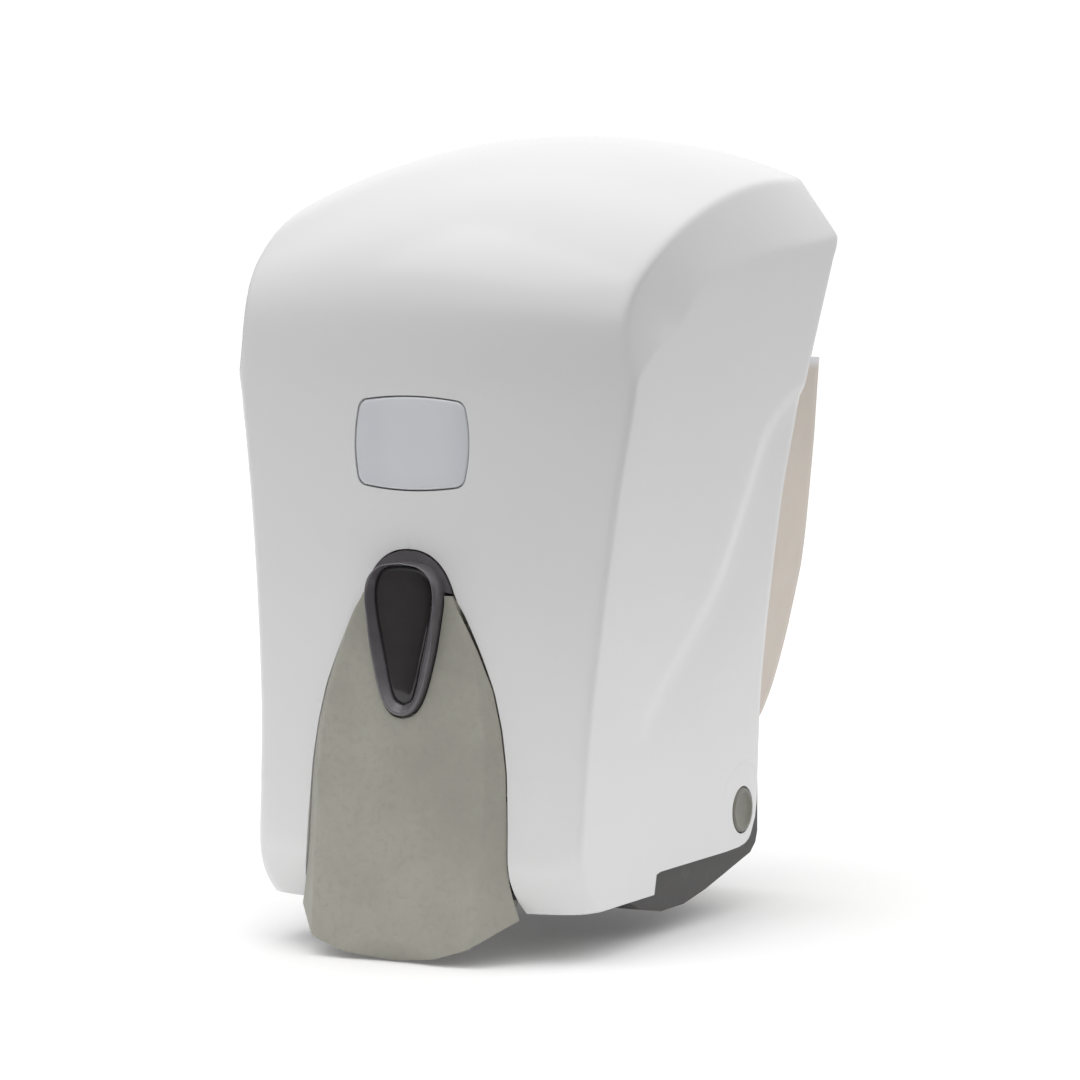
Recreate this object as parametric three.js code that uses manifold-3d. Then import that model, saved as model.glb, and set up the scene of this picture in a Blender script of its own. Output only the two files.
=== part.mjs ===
// Wall mounted lever soap dispenser: white ABS cover hinged on a dark chassis,
// open-topped polypropylene tank, lever pump, sight glass and wall plate.
//
// Millimetres, +Z up. The wall is the plane Y = 0 and the front faces -Y.
// The origin is the centre of the wall plate's rear face.

import * as THREE from "three";
import { mergeVertices } from "three/addons/utils/BufferGeometryUtils.js";
import Module from "manifold-3d";

const wasm = await Module();
wasm.setup();

// ---------------------------------------------------------------- driving dimensions

const GAP = 0.4; // clearance between neighbouring pieces
const ROUND = 24; // segments of a full circle
const FAR = 300; // longer than the whole object, for cutters

const COVER_WALL = 2.4;
const COVER_SIDE_DRAFT = 0.00018; // fraction of the width lost per mm towards the front
const COVER_REAR_Y = -18; // rear rim at the top
const COVER_BOTTOM_Z = -88;
const COVER_LIP_Z = -93.7; // the lower edge either side of the lever
const COVER_LIP_Y = -98.5;

// Centre line of the cover's top and front, from the rear rim to the lower lip: [y, z].
const COVER_PROFILE = [
  [-18, 104], [-42, 105], [-68, 104], [-92, 100], [-112, 93.2], [-127, 84.2],
  [-138, 74], [-144, 61.5], [-144.6, 48], [-144, 37], [-144.6, 8], [-145.5, -20],
  [-147.8, -57], [-149.6, -78], [-149.5, -84], [-148.3, -88], [-146.5, -91], [-144.2, -93.7], [-140.5, -97],
];
// Rear rim and lower edge of the cover's side, [y, z], from the top to the lip.
const COVER_RIM = [
  [-18, 77.4], [-21, 63], [-25, 47.8], [-26.5, 40.8], [-29, 25], [-30, 16.9], [-32, -4.9],
  [-33.5, -26.8], [-34.5, -48.8], [-35, -78], [-36.6, -83.4], [-41, -87], [-48, -88],
];
// Half width of the cover at its rear, [z, half width].
const COVER_HALF_WIDTH = [
  [120, 70.8], [77.4, 64.3], [63, 62.1], [47.8, 60.4], [40.8, 59.3], [25, 56.9], [16.9, 55.6],
  [-4.9, 53], [-26.8, 50.8], [-48.8, 49], [-80, 48.4], [-120, 48.4],
];
const CROWN_REAR = 0.0039; // inward drop of the sheet per mm of half width squared
const CROWN_FRONT = 0.0032;
const CROWN_STEPS = 5; // facets of each half of the crown
const COVER_SAMPLES = 46; // facets along the cover's centre line
// The shoulder bands, by the number of a point of COVER_PROFILE: the half width where the band
// starts, and how steeply it falls away beyond that.
const BAND_START = [
  [0, 52.9], [1, 56], [2, 58.5], [3, 59.8], [4, 59.6], [5, 58.2], [6, 56.6], [7, 55.6],
  [8, 57], [9, 59], [10, 62],
];
const BAND_SLOPE = [[0, 1.36], [1, 2.2], [2, 3.5], [3, 6], [4, 8], [5, 8], [6, 6], [7, 4], [9, 2.5]];
const BAND_END = 10; // the point of COVER_PROFILE where the bands have run out
const BAND_DEPTH = 26; // depth of the band's outer edge, outside the cover's sides
const CLOSING_Y = 12; // the solid's own rear face, trimmed away later
const HOLLOW_REAR_Y = 8;
const HOLLOW_BOTTOM_Z = -130;
const PLAIN_EDGE = { reach: 8, drop: 1.2 }; // the crown's last facet where there is no band
const BEYOND_SIDES = 12;
const KEY_NOTCH = { halfWidth: 4.2, frontY: -21, bottomZ: 98 }; // for the key at the rear of the top
const BADGE_REAR_Y = -130; // behind the badge and in front of the tank
const CATCH_RIB = { halfWidth: 14, rearY: -19.4, frontY: -21.6, bottomZ: 97.4, topZ: 103 };
const AXLE_LUG = { inner: 15.2, outer: 17.8, rearY: -133.4, frontY: -140.4, topFrontY: -143.6, topZ: -9.5 };

const HINGE = {
  y: -44.2, z: -77.8, capRadius: 6.1, capInner: 45.3, capOuter: 48.6,
  pinRadius: 3, earInner: 40.6, ringWidth: 2.4,
};

// Front view of the lever opening's right half, [x, z], from the arch's top down.
const OPENING = [
  [0, -1.1], [4.6, -1.9], [8.4, -4.2], [11.2, -7.8], [12.9, -11.8], [17.3, -20], [20.8, -27.4],
  [24.5, -36.6], [26.9, -46.6], [28.4, -57], [29.2, -72], [29.4, -80], [29.8, -84], [30.5, -88],
  [31.2, -91], [32.2, -94.8],
];
const OPENING_SHOULDER = 4; // index of the point where the arch meets the lever's sides
const LEVER_TOP_Z = -12.7;
const LEVER_WALL = 3;
const LEVER_REAR_Y = -134;
const LEVER_BOTTOM = [[28.2, -97.4], [23.1, -101.4], [12, -105], [0, -106.3]]; // its lower edge, [x, z]
const LEVER_LUG = { inner: 12.2, outer: 14.6, half: 3.2, wallY: -141.4 };
const LEVER_RIB = { half: 1.2, rearY: -137.4, frontY: -152.5, bottomZ: -98, topZ: -50 };
const NOSE = { radius: 5.8, stem: 1.9, bossRadius: 5, bossRearY: -136, stemY: -141.3 };
// Centre line of the lever's front face, [y, z], from the top down.
const LEVER_PROFILE = [
  [-146.2, -9], [-147, -24], [-148.6, -43], [-151.2, -70], [-154, -90], [-155.6, -101], [-155.9, -110],
];
// Half width of the lever's front facet, [z, half width], and the slope of its bevels.
const LEVER_FACET = [
  [-9, 13], [-20, 16.4], [-30, 19.8], [-40, 22.2], [-50, 23.8], [-60, 24.4], [-80, 24], [-110, 22.8],
];
const LEVER_BEVEL_SLOPE = 1.15;
const LEVER_PIVOT = { y: -137.2, z: -17, radius: 1.5, halfLength: 19.2 };
const AXLE_FIT = 0.25; // radial clearance of the axle and the hinge pins

const GLASS_FRONT_Y = -150.2;
const GLASS_REAR_Y = -140;
// Front view of the sight glass's right half, [x, z].
const BEZEL = [
  [0, -4.3], [6.4, -5.4], [10.4, -9], [11.6, -14], [11.3, -22], [9.4, -30.5], [6.2, -38], [3.2, -42.2], [0, -43.6],
];
const BEZEL_MARGIN = 3.6; // width of the frame around the lens
const FLANGE_Y = -145.2; // front of the flange that fills the arch above the lever
const FLANGE_BOTTOM_Z = -12.1;
const GLASS_EAR = [[0, 3], [13.4, 0], [14.6, -12.6], [0, -12.6]]; // the part behind the cover, [x, z]

const BADGE = {
  z: 25.9, halfWidth: 14.9, halfHeight: 10.6, bulgeX: 1.7, bulgeZ: 1.5, corner: 2,
  thickness: 1.1, pocket: 1.5,
};

// Front view of the tank's right half at the rear, [x, z].
const TANK_OUTLINE = [
  [54, 44], [53.6, 39], [52.5, 22], [51.3, 9], [50.1, -3.4], [48.9, -12.8], [47.2, -20.6],
  [44.7, -31.6], [42.2, -41], [39.7, -49], [36.4, -57], [31.5, -63], [24, -67], [12, -69], [0, -69.2],
];
const TANK_REAR_Y = -3.6;
const TANK_FRONT_Y = -106;
const TANK_WALL = 2.6;
const TANK_DRAFT = 0.0004; // fraction of the width lost per mm towards the front
const TANK_FLOOR_Z = -69.2;
const TANK_BOSS = { radius: 8.4, bottomZ: -70.4, topZ: -66 };

const PUMP = { z: -82, outer: 9, bore: 7.2, rearY: -78, frontY: -114, chamberRearY: -80.5 };
const INLET = { y: -87, outer: 5.6, bore: 3.6, topZ: -66.6 };
const OUTLET = { y: -91, outer: 4.4, bore: 2.6, bottomZ: -101.5 };
const PISTON = {
  headRadius: 6.2, headRear: -106.4, headFront: -111, rodRadius: 3.6, rodFront: -130.6, knobRadius: 6,
};
const SPRING = { radius: 5, wire: 0.55, turns: 6 };

const SCREW_HOLE = { wall: 2.6, chassis: 1.9, pump: 1.6, pilot: 1.2 }; // radii
const SCREW_FACETS = 20;
const WALL_SCREWS = [[-36, 74], [36, 74], [-22, -78], [22, -78]]; // [x, z]
const CHASSIS_SCREWS = [-9, 9]; // x
const CHASSIS_SCREW_Z = -80;
const PUMP_SCREWS = [-17, 17]; // x
const PUMP_SCREW_Y = -100;

// Side view of the base, [y, z]: its outside, and the hollow in it.
const BASE_HALF_WIDTH = 44.6;
const BASE_WALL = 2.6;
const BASE_OUTSIDE = [
  [-26.3, -71], [-26.3, -86], [-27.6, -89], [-31, -91.4], [-60, -97.6], [-74, -99.7], [-88, -99.7],
  [-100, -97.6], [-108, -94.4], [-110, -91], [-110, -86], [-54, -86], [-52, -76], [-51, -71], [-44.2, -69.4],
  [-36, -70],
];
const BASE_HOLLOW = [
  [-28.7, -60], [-28.7, -85.6], [-31.6, -88.9], [-60.4, -95.1], [-74, -97.2], [-88, -97.2],
  [-99.6, -95.2], [-106.4, -92.4], [-107.5, -90], [-107.5, -60],
];
const BASE_BLOCK = { half: 16, frontY: -27, bottomZ: -88, topZ: -71.5 }; // carries the base on the wall plate
const BASE_EAR = { radius: 6, inner: 40.2, outer: 44.4 };
const PUMP_WINDOW = { half: 12.4, rearY: -105, bottomZ: -93.2 }; // where the barrel passes the front wall
const PUMP_POST = { radius: 3.4, bottomZ: -96.8, topZ: -92.8, pilotZ: -95.4 };
const PUMP_FLANGE = { halfX: 20.4, halfY: 3.6, bottomZ: -92.4, topZ: -90 };

// Front view of the wall plate's right half, [x, z].
const PLATE_OUTLINE = [
  [0, 96], [40, 96], [48, 88], [50, 60], [48, 10], [41, -28], [31, -52], [28, -66], [28, -88], [0, -88],
];
const PLATE_THICKNESS = 3;
const PLATE_FIT = 0.3; // gap between the plate and what is fixed on it
const LATCH = {
  halfWidth: 6, rearY: -6.2, frontY: -12.4, bottomZ: 84, topZ: 98.6,
  hookReach: 4.6, wall: 2, guideBottomZ: 74.6, guideTopZ: 91,
  springZ: 77.4, springRadius: 2.2, springWire: 0.35,
};

// ---------------------------------------------------------------- shapes and solids

const AXES = {
  // local x, y, z of an extrusion become these world directions
  alongX: new THREE.Matrix4().makeBasis(
    new THREE.Vector3(0, 1, 0), new THREE.Vector3(0, 0, 1), new THREE.Vector3(1, 0, 0)),
  alongY: new THREE.Matrix4().makeBasis(
    new THREE.Vector3(1, 0, 0), new THREE.Vector3(0, 0, 1), new THREE.Vector3(0, -1, 0)),
};

function solid(geometry) {
  const bare = geometry.clone();
  bare.deleteAttribute("normal");
  bare.deleteAttribute("uv");
  const merged = mergeVertices(bare, 1e-4);
  return new wasm.Manifold(new wasm.Mesh({
    numProp: 3,
    vertProperties: merged.attributes.position.array,
    triVerts: new Uint32Array(merged.index.array),
  }));
}

function geometryOf(manifold) {
  const mesh = manifold.getMesh();
  const geometry = new THREE.BufferGeometry();
  geometry.setAttribute("position", new THREE.BufferAttribute(mesh.vertProperties, 3));
  geometry.setIndex(new THREE.BufferAttribute(mesh.triVerts, 1));
  const flat = geometry.toNonIndexed();
  flat.computeVertexNormals();
  return flat;
}

const shapeOf = (points) => new THREE.Shape(points.map(([x, y]) => new THREE.Vector2(x, y)));

// The right half [x, z] from top to bottom, with its mirror image, as one closed outline.
function mirrored(half) {
  const left = half.filter(([x]) => x > 0).map(([x, z]) => [-x, z]).reverse();
  return [...half, ...left];
}

function inset(half, margin) {
  // moves each point of a half outline towards the inside by the margin
  return half.map(([x, z], i) => {
    const before = half[Math.max(i - 1, 0)];
    const after = half[Math.min(i + 1, half.length - 1)];
    const along = new THREE.Vector2(after[0] - before[0], after[1] - before[1]).normalize();
    const moved = [x + along.y * margin, z - along.x * margin];
    return x === 0 ? [0, z - Math.sign(along.x) * margin] : moved;
  });
}

function prismX(shape, from, to, steps = 1) {
  const geometry = new THREE.ExtrudeGeometry(shape, { depth: to - from, steps, bevelEnabled: false });
  geometry.translate(0, 0, from);
  return geometry.applyMatrix4(AXES.alongX);
}

function prismY(shape, rear, front, steps = 1) {
  const geometry = new THREE.ExtrudeGeometry(shape, { depth: rear - front, steps, bevelEnabled: false });
  geometry.translate(0, 0, -rear);
  return geometry.applyMatrix4(AXES.alongY);
}

function box(x0, x1, y0, y1, z0, z1) {
  const geometry = new THREE.BoxGeometry(x1 - x0, y1 - y0, z1 - z0);
  return solid(geometry.translate((x0 + x1) / 2, (y0 + y1) / 2, (z0 + z1) / 2));
}

// A cylinder whose axis runs along X, Y or Z through (a, b), the other two coordinates in order.
function rod(axis, radius, from, to, a, b, segments = ROUND) {
  const geometry = new THREE.CylinderGeometry(radius, radius, Math.abs(to - from), segments);
  const middle = (from + to) / 2;
  if (axis === "x") geometry.rotateZ(Math.PI / 2).translate(middle, a, b);
  if (axis === "y") geometry.translate(a, middle, b);
  if (axis === "z") geometry.rotateX(Math.PI / 2).translate(a, b, middle);
  return solid(geometry);
}

// A turned piece: the profile [radius, height] starts and ends on the axis, or closes on itself.
function turned(profile, segments = ROUND) {
  return new THREE.LatheGeometry(profile.map(([r, h]) => new THREE.Vector2(r, h)), segments);
}

const lookUp = (table, key) => {
  const rising = table[0][0] < table[table.length - 1][0];
  const rows = rising ? table : [...table].reverse();
  const next = rows.findIndex(([at]) => at >= key);
  if (next <= 0) return next === 0 ? rows[0][1] : rows[rows.length - 1][1];
  const [before, after] = [rows[next - 1], rows[next]];
  const share = (key - before[0]) / (after[0] - before[0]);
  return before[1] + share * (after[1] - before[1]);
};

// ---------------------------------------------------------------- curved sheets

// Outward normals of an open [y, z] curve that has its inside on the right of its direction.
function normalsOf(curve) {
  return curve.map((_, i) => {
    const before = curve[Math.max(i - 1, 0)];
    const after = curve[Math.min(i + 1, curve.length - 1)];
    const along = new THREE.Vector2(after[0] - before[0], after[1] - before[1]).normalize();
    return [along.y, -along.x];
  });
}

function smooth(points, samples) {
  const curve = new THREE.SplineCurve(points.map(([y, z]) => new THREE.Vector2(y, z)));
  return curve.getPoints(samples).map((p) => [p.x, p.y]);
}

// A solid behind a curve swept across X. stations(i) lists [x, drop] pairs for point i of the
// curve, from the centre outwards: the surface at x lies that drop inside the curve.
function sheet(curve, closing, stations) {
  const normals = normalsOf(curve).map(([y, z]) => [-y, -z]);
  const outline = [...curve, ...closing];
  const count = stations(0).length - 1;
  const geometry = prismX(shapeOf(outline), -count, count, 2 * count);
  const position = geometry.attributes.position;
  for (let v = 0; v < position.count; v += 1) {
    const station = Math.round(position.getX(v));
    const [y, z] = [position.getY(v), position.getZ(v)];
    let nearest = 0;
    outline.forEach(([py, pz], i) => {
      const [ny, nz] = outline[nearest];
      if (Math.hypot(py - y, pz - z) < Math.hypot(ny - y, nz - z)) nearest = i;
    });
    const onCurve = nearest < curve.length;
    const index = onCurve ? nearest : nearest - curve.length < closing.length / 2 ? curve.length - 1 : 0;
    const [x, drop] = stations(index)[Math.abs(station)];
    const [dy, dz] = onCurve ? normals[index] : [0, 0];
    position.setXYZ(v, Math.sign(station) * x, y + dy * drop, z + dz * drop);
  }
  return solid(geometry);
}

// The cover's outside, or with thinner > 0 the same shape that much further in.
function coverSolid(thinner) {
  const outer = smooth(COVER_PROFILE, COVER_SAMPLES);
  const normals = normalsOf(outer);
  const curve = outer.map(([y, z], i) => [y - normals[i][0] * thinner, z - normals[i][1] * thinner]);
  if (thinner > 0) {
    // a hollow runs out through the rear and the bottom
    curve[0][0] = HOLLOW_REAR_Y;
    curve.push([curve[curve.length - 1][0], HOLLOW_BOTTOM_Z]);
  }
  const closing = [[CLOSING_Y, curve[curve.length - 1][1]], [CLOSING_Y, curve[0][1] + 0.5]];
  const crossed = (i) => {
    const share = Math.min(i / (outer.length - 1), 1);
    const point = share * (COVER_PROFILE.length - 1);
    const crown = CROWN_REAR + share * (CROWN_FRONT - CROWN_REAR);
    const start = lookUp(BAND_START, point) - thinner * 0.6;
    const rows = [];
    for (let k = 0; k <= CROWN_STEPS; k += 1) {
      const x = (start * k) / CROWN_STEPS;
      rows.push([x, crown * x * x]);
    }
    const banded = point < BAND_END;
    const reach = banded ? BAND_DEPTH / lookUp(BAND_SLOPE, point) : PLAIN_EDGE.reach;
    const drop = crown * start * start + (banded ? BAND_DEPTH : PLAIN_EDGE.drop);
    rows.push([start + reach, drop]);
    rows.push([start + reach + BEYOND_SIDES, drop]);
    return rows;
  };
  return sheet(curve, closing, crossed).intersect(sideLimit(thinner));
}

// Everything between the cover's two flared sides.
function sideLimit(thinner) {
  const half = COVER_HALF_WIDTH.map(([z, x]) => [x - thinner, z]);
  const outline = [...half, ...half.map(([x, z]) => [-x, z]).reverse()];
  const geometry = prismY(shapeOf(outline), CLOSING_Y + BEYOND_SIDES, -FAR);
  return solid(drafted(geometry, COVER_REAR_Y, COVER_SIDE_DRAFT));
}

// Narrows a geometry in X towards the front, by a fraction per mm from the line rearY.
function drafted(geometry, rearY, perMm) {
  const position = geometry.attributes.position;
  for (let v = 0; v < position.count; v += 1) {
    position.setX(v, position.getX(v) * (1 + (position.getY(v) - rearY) * perMm));
  }
  return geometry;
}

const openingPrism = (margin, rear, front) => {
  const half = OPENING.map(([x, z], i) => (i === 0 ? [0, z + margin] : [x + margin, z + margin * 0.4]));
  const below = [[half[half.length - 1][0], HOLLOW_BOTTOM_Z], [0, HOLLOW_BOTTOM_Z]];
  return solid(prismY(shapeOf(mirrored([...half, ...below])), rear, front));
};

function badgeShape(margin) {
  const { z, corner } = BADGE;
  const w = BADGE.halfWidth + margin;
  const h = BADGE.halfHeight + margin;
  const shape = new THREE.Shape();
  shape.moveTo(-w + corner, z + h);
  shape.quadraticCurveTo(0, z + h + 2 * BADGE.bulgeZ, w - corner, z + h);
  shape.quadraticCurveTo(w, z + h, w, z + h - corner);
  shape.quadraticCurveTo(w + 2 * BADGE.bulgeX, z, w, z - h + corner);
  shape.quadraticCurveTo(w, z - h, w - corner, z - h);
  shape.quadraticCurveTo(0, z - h - 2 * BADGE.bulgeZ, -w + corner, z - h);
  shape.quadraticCurveTo(-w, z - h, -w, z - h + corner);
  shape.quadraticCurveTo(-w - 2 * BADGE.bulgeX, z, -w, z + h - corner);
  shape.quadraticCurveTo(-w, z + h, -w + corner, z + h);
  return new THREE.Shape(shape.getPoints(5));
}

// ---------------------------------------------------------------- cover pieces

function coverShell() {
  const rim = [...COVER_RIM, [COVER_LIP_Y + 1.5, COVER_BOTTOM_Z], [COVER_LIP_Y, COVER_LIP_Z]];
  const kept = [[COVER_REAR_Y, FAR], ...rim, [-FAR, COVER_LIP_Z], [-FAR, FAR]];
  const trim = solid(prismX(shapeOf(kept), -FAR / 2, FAR / 2));
  let shell = coverSolid(0).subtract(coverSolid(COVER_WALL)).intersect(trim);
  shell = shell.subtract(openingPrism(0, -118, -FAR));
  const { halfWidth, frontY, bottomZ } = KEY_NOTCH;
  shell = shell.subtract(box(-halfWidth, halfWidth, frontY, 0, bottomZ, FAR));
  const pocket = solid(prismY(badgeShape(GAP), BADGE_REAR_Y, -FAR)).subtract(coverSolid(BADGE.pocket));
  shell = shell.subtract(pocket);
  const { inner, outer } = AXLE_LUG;
  const { y, z, capRadius, capInner, capOuter, ringWidth, earInner } = HINGE;
  for (const side of [-1, 1]) {
    shell = shell.add(rod("x", capRadius + ringWidth, side * capInner, side * (capOuter - 1), y, z));
    shell = shell.subtract(rod("x", capRadius + GAP, side * earInner, side * FAR, y, z));
    const ear = box(inner, outer, AXLE_LUG.frontY, AXLE_LUG.rearY, LEVER_PIVOT.z - 4, 0);
    const lug = ear.add(box(inner, outer, AXLE_LUG.topFrontY, AXLE_LUG.rearY, AXLE_LUG.topZ, 0));
    shell = shell.add(side > 0 ? lug : lug.mirror([1, 0, 0]));
  }
  shell = shell.subtract(axleHole());
  const { halfWidth: ribHalf, rearY, frontY: ribFrontY, bottomZ: ribBottomZ, topZ } = CATCH_RIB;
  const catchRib = box(-ribHalf, ribHalf, ribFrontY, rearY, ribBottomZ, topZ);
  return shell.add(catchRib.intersect(coverSolid(1)));
}

function axleHole() {
  const { radius, y, z } = LEVER_PIVOT;
  return rod("x", radius + AXLE_FIT, -FAR, FAR, y, z);
}

function nameBadge() {
  const plate = solid(prismY(badgeShape(0), BADGE_REAR_Y, -FAR));
  return plate.intersect(coverSolid(0.05)).subtract(coverSolid(BADGE.thickness));
}

function bezelShape(margin) {
  return shapeOf(mirrored(margin ? inset(BEZEL, margin) : BEZEL));
}

function sightGlassBezel() {
  const front = solid(prismY(bezelShape(0), GLASS_REAR_Y, GLASS_FRONT_Y));
  const arch = OPENING.slice(0, OPENING_SHOULDER + 1)
    .map(([x, z], i) => (i === 0 ? [0, z - GAP] : [x - GAP, z - GAP * 0.5]));
  const foot = [[BEZEL[3][0] - 0.6, FLANGE_BOTTOM_Z], [0, FLANGE_BOTTOM_Z]];
  const flange = solid(prismY(shapeOf(mirrored([...arch, ...foot])), GLASS_REAR_Y, FLANGE_Y));
  const behindWall = solid(prismY(shapeOf(mirrored(GLASS_EAR)), GLASS_REAR_Y + 0.6, GLASS_FRONT_Y));
  const rearEar = behindWall.intersect(coverSolid(COVER_WALL + GAP));
  const lensHole = solid(prismY(bezelShape(BEZEL_MARGIN), BADGE_REAR_Y, -FAR));
  return front.add(flange).add(rearEar).subtract(lensHole);
}

function sightGlassLens() {
  return solid(prismY(bezelShape(BEZEL_MARGIN + GAP), GLASS_REAR_Y - 0.5, GLASS_FRONT_Y + 1));
}

// ---------------------------------------------------------------- lever pieces

function leverSolid(thinner) {
  const outer = smooth(LEVER_PROFILE, 12);
  const normals = normalsOf(outer);
  const curve = outer.map(([y, z], i) => [y - normals[i][0] * thinner, z - normals[i][1] * thinner]);
  const closing = [[-100, curve[curve.length - 1][1]], [-100, curve[0][1]]];
  const crossed = (i) => {
    const facet = lookUp(LEVER_FACET, outer[i][1]) - thinner * 0.4;
    return [[0, 0], [facet * 0.5, 0.05], [facet, 0.5], [facet + 16, 0.5 + 16 * LEVER_BEVEL_SLOPE]];
  };
  return sheet(curve, closing, crossed);
}

function pushLever() {
  const sides = OPENING.slice(OPENING_SHOULDER + 1).map(([x, z]) => [x - GAP, z]);
  const outline = [[0, LEVER_TOP_Z], [LEVER_LUG.inner, LEVER_TOP_Z], ...sides, ...LEVER_BOTTOM];
  const front = solid(prismY(shapeOf(mirrored(outline)), LEVER_REAR_Y, -FAR));
  const whole = front.intersect(leverSolid(0));
  let lever = whole.subtract(leverSolid(LEVER_WALL));
  lever = lever.subtract(box(-FAR, FAR, -137, FAR, -92, 0));
  const { inner, outer, half, wallY } = LEVER_LUG;
  for (const side of [-1, 1]) {
    const lug = box(inner, outer, -146, LEVER_REAR_Y, LEVER_PIVOT.z - half, LEVER_PIVOT.z + half);
    const held = lug.intersect(whole.add(box(-FAR, FAR, wallY, FAR, -FAR, 0)));
    lever = lever.add(side > 0 ? held : held.mirror([1, 0, 0]));
  }
  const { half: ribHalf, rearY, frontY, bottomZ, topZ } = LEVER_RIB;
  const rib = box(-ribHalf, ribHalf, frontY, rearY, bottomZ, topZ).intersect(leverSolid(1));
  const boss = rod("y", NOSE.bossRadius, -150, NOSE.bossRearY, 0, PUMP.z).intersect(leverSolid(1));
  lever = lever.add(rib).add(boss);
  const notch = BEZEL.map(([x, z], i) => (i < 2 ? [x + GAP, 5] : [x === 0 ? 0 : x + GAP * 1.4, z - GAP * 1.6]));
  lever = lever.subtract(solid(prismY(shapeOf(mirrored(notch)), -120, -FAR)));
  lever = lever.subtract(rod("y", NOSE.stem + AXLE_FIT, NOSE.stemY - 0.7, -120, 0, PUMP.z));
  return lever.subtract(axleHole());
}

// The acetal nose that presses the piston, with a stem that plugs into the lever's boss.
function leverNose() {
  const tip = PISTON.rodFront - 0.6;
  const shoulder = tip - NOSE.bossRearY - 0.5;
  const end = tip - NOSE.stemY - 0.3;
  const { radius, stem } = NOSE;
  const profile = [
    [0, 0], [radius - 2.8, 0.5], [radius - 0.6, 2], [radius, 3.4], [radius, shoulder], [stem, shoulder],
    [stem, end], [0, end],
  ];
  const geometry = turned(profile);
  geometry.rotateX(Math.PI).translate(0, tip, PUMP.z);
  return solid(geometry);
}

function leverAxle() {
  const { radius, halfLength, y, z } = LEVER_PIVOT;
  return rod("x", radius, -halfLength, halfLength, y, z, SCREW_FACETS);
}

// ---------------------------------------------------------------- fixed pieces

function wallPlate() {
  let plate = solid(prismY(shapeOf(mirrored(PLATE_OUTLINE)), 0, -PLATE_THICKNESS));
  for (const [x, z] of WALL_SCREWS) plate = plate.subtract(rod("y", SCREW_HOLE.wall, -FAR, FAR, x, z, SCREW_FACETS));
  return plate.subtract(chassisScrewHoles());
}

function chassisScrewHoles() {
  const holes = CHASSIS_SCREWS.map((x) => rod("y", SCREW_HOLE.chassis, -60, FAR, x, CHASSIS_SCREW_Z, SCREW_FACETS));
  return wasm.Manifold.union(holes);
}

function baseChassis() {
  const outside = solid(prismX(shapeOf(BASE_OUTSIDE), -BASE_HALF_WIDTH, BASE_HALF_WIDTH));
  const hollow = solid(prismX(shapeOf(BASE_HOLLOW), -BASE_HALF_WIDTH + BASE_WALL, BASE_HALF_WIDTH - BASE_WALL));
  const { half, frontY, bottomZ, topZ } = BASE_BLOCK;
  let chassis = outside.subtract(hollow);
  chassis = chassis.add(box(-half, half, frontY, -PLATE_THICKNESS - PLATE_FIT, bottomZ, topZ));
  const { radius, bottomZ: postBottom, topZ: postTop, pilotZ } = PUMP_POST;
  for (const side of [-1, 1]) {
    const x = side * PUMP_SCREWS[1];
    chassis = chassis.add(rod("x", BASE_EAR.radius, side * BASE_EAR.inner, side * BASE_EAR.outer, HINGE.y, HINGE.z));
    chassis = chassis.subtract(rod("x", HINGE.pinRadius + AXLE_FIT, side * 36, side * 60, HINGE.y, HINGE.z));
    chassis = chassis.add(rod("z", radius, postBottom, postTop, x, PUMP_SCREW_Y));
    chassis = chassis.subtract(rod("z", SCREW_HOLE.pilot, pilotZ, postTop + 1, x, PUMP_SCREW_Y, SCREW_FACETS));
  }
  const { half: windowHalf, rearY, bottomZ: sillZ } = PUMP_WINDOW;
  chassis = chassis.subtract(chassisScrewHoles());
  chassis = chassis.subtract(box(-windowHalf, windowHalf, -FAR, rearY, sillZ, 0));
  return chassis.subtract(rod("z", OUTLET.outer + 1, -FAR, -94, 0, OUTLET.y));
}

function hingePin(side) {
  const { pinRadius, capRadius, capInner, capOuter, earInner } = HINGE;
  const seat = capInner - earInner + 2;
  const face = capOuter - earInner;
  const profile = [
    [0, 0], [pinRadius, 0], [pinRadius, seat], [capRadius, seat], [capRadius, face - 0.3],
    [capRadius - 0.5, face], [capRadius - 1.2, face], [capRadius - 2, face - 0.6], [0, face - 0.9],
  ];
  const geometry = turned(profile);
  geometry.rotateZ(-Math.PI / 2).translate(earInner, HINGE.y, HINGE.z);
  if (side < 0) geometry.rotateY(Math.PI).translate(0, 0, 2 * HINGE.z);
  return solid(geometry);
}

function tank() {
  const closed = mirrored([[0, TANK_OUTLINE[0][1]], ...TANK_OUTLINE]);
  const outer = solid(drafted(prismY(shapeOf(closed), TANK_REAR_Y, TANK_FRONT_Y), TANK_REAR_Y, TANK_DRAFT));
  const half = TANK_OUTLINE.map(([x, z], i) => {
    const nearFloor = i > TANK_OUTLINE.length - 4;
    const inside = Math.max(x - (nearFloor ? 1 : TANK_WALL), 0);
    return [inside, Math.max(z, TANK_FLOOR_Z + TANK_WALL) + (z < -40 ? 1 : 0)];
  });
  const inner = mirrored([[0, 60], [half[0][0], 60], ...half.slice(1)]);
  const hollow = prismY(shapeOf(inner), TANK_REAR_Y - TANK_WALL, TANK_FRONT_Y + TANK_WALL);
  const { radius, bottomZ, topZ } = TANK_BOSS;
  let body = outer.subtract(solid(drafted(hollow, TANK_REAR_Y, TANK_DRAFT)));
  body = body.add(rod("z", radius, bottomZ, topZ, 0, INLET.y));
  return body.subtract(rod("z", INLET.outer + GAP, -80, -50, 0, INLET.y));
}

function outletSeal() {
  const inner = INLET.outer + GAP;
  const profile = [[inner, 0], [8.2, 0], [8.2, 1.6], [inner, 1.6], [inner, 0]];
  return solid(turned(profile).rotateX(Math.PI / 2).translate(0, INLET.y, -72.4));
}

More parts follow.
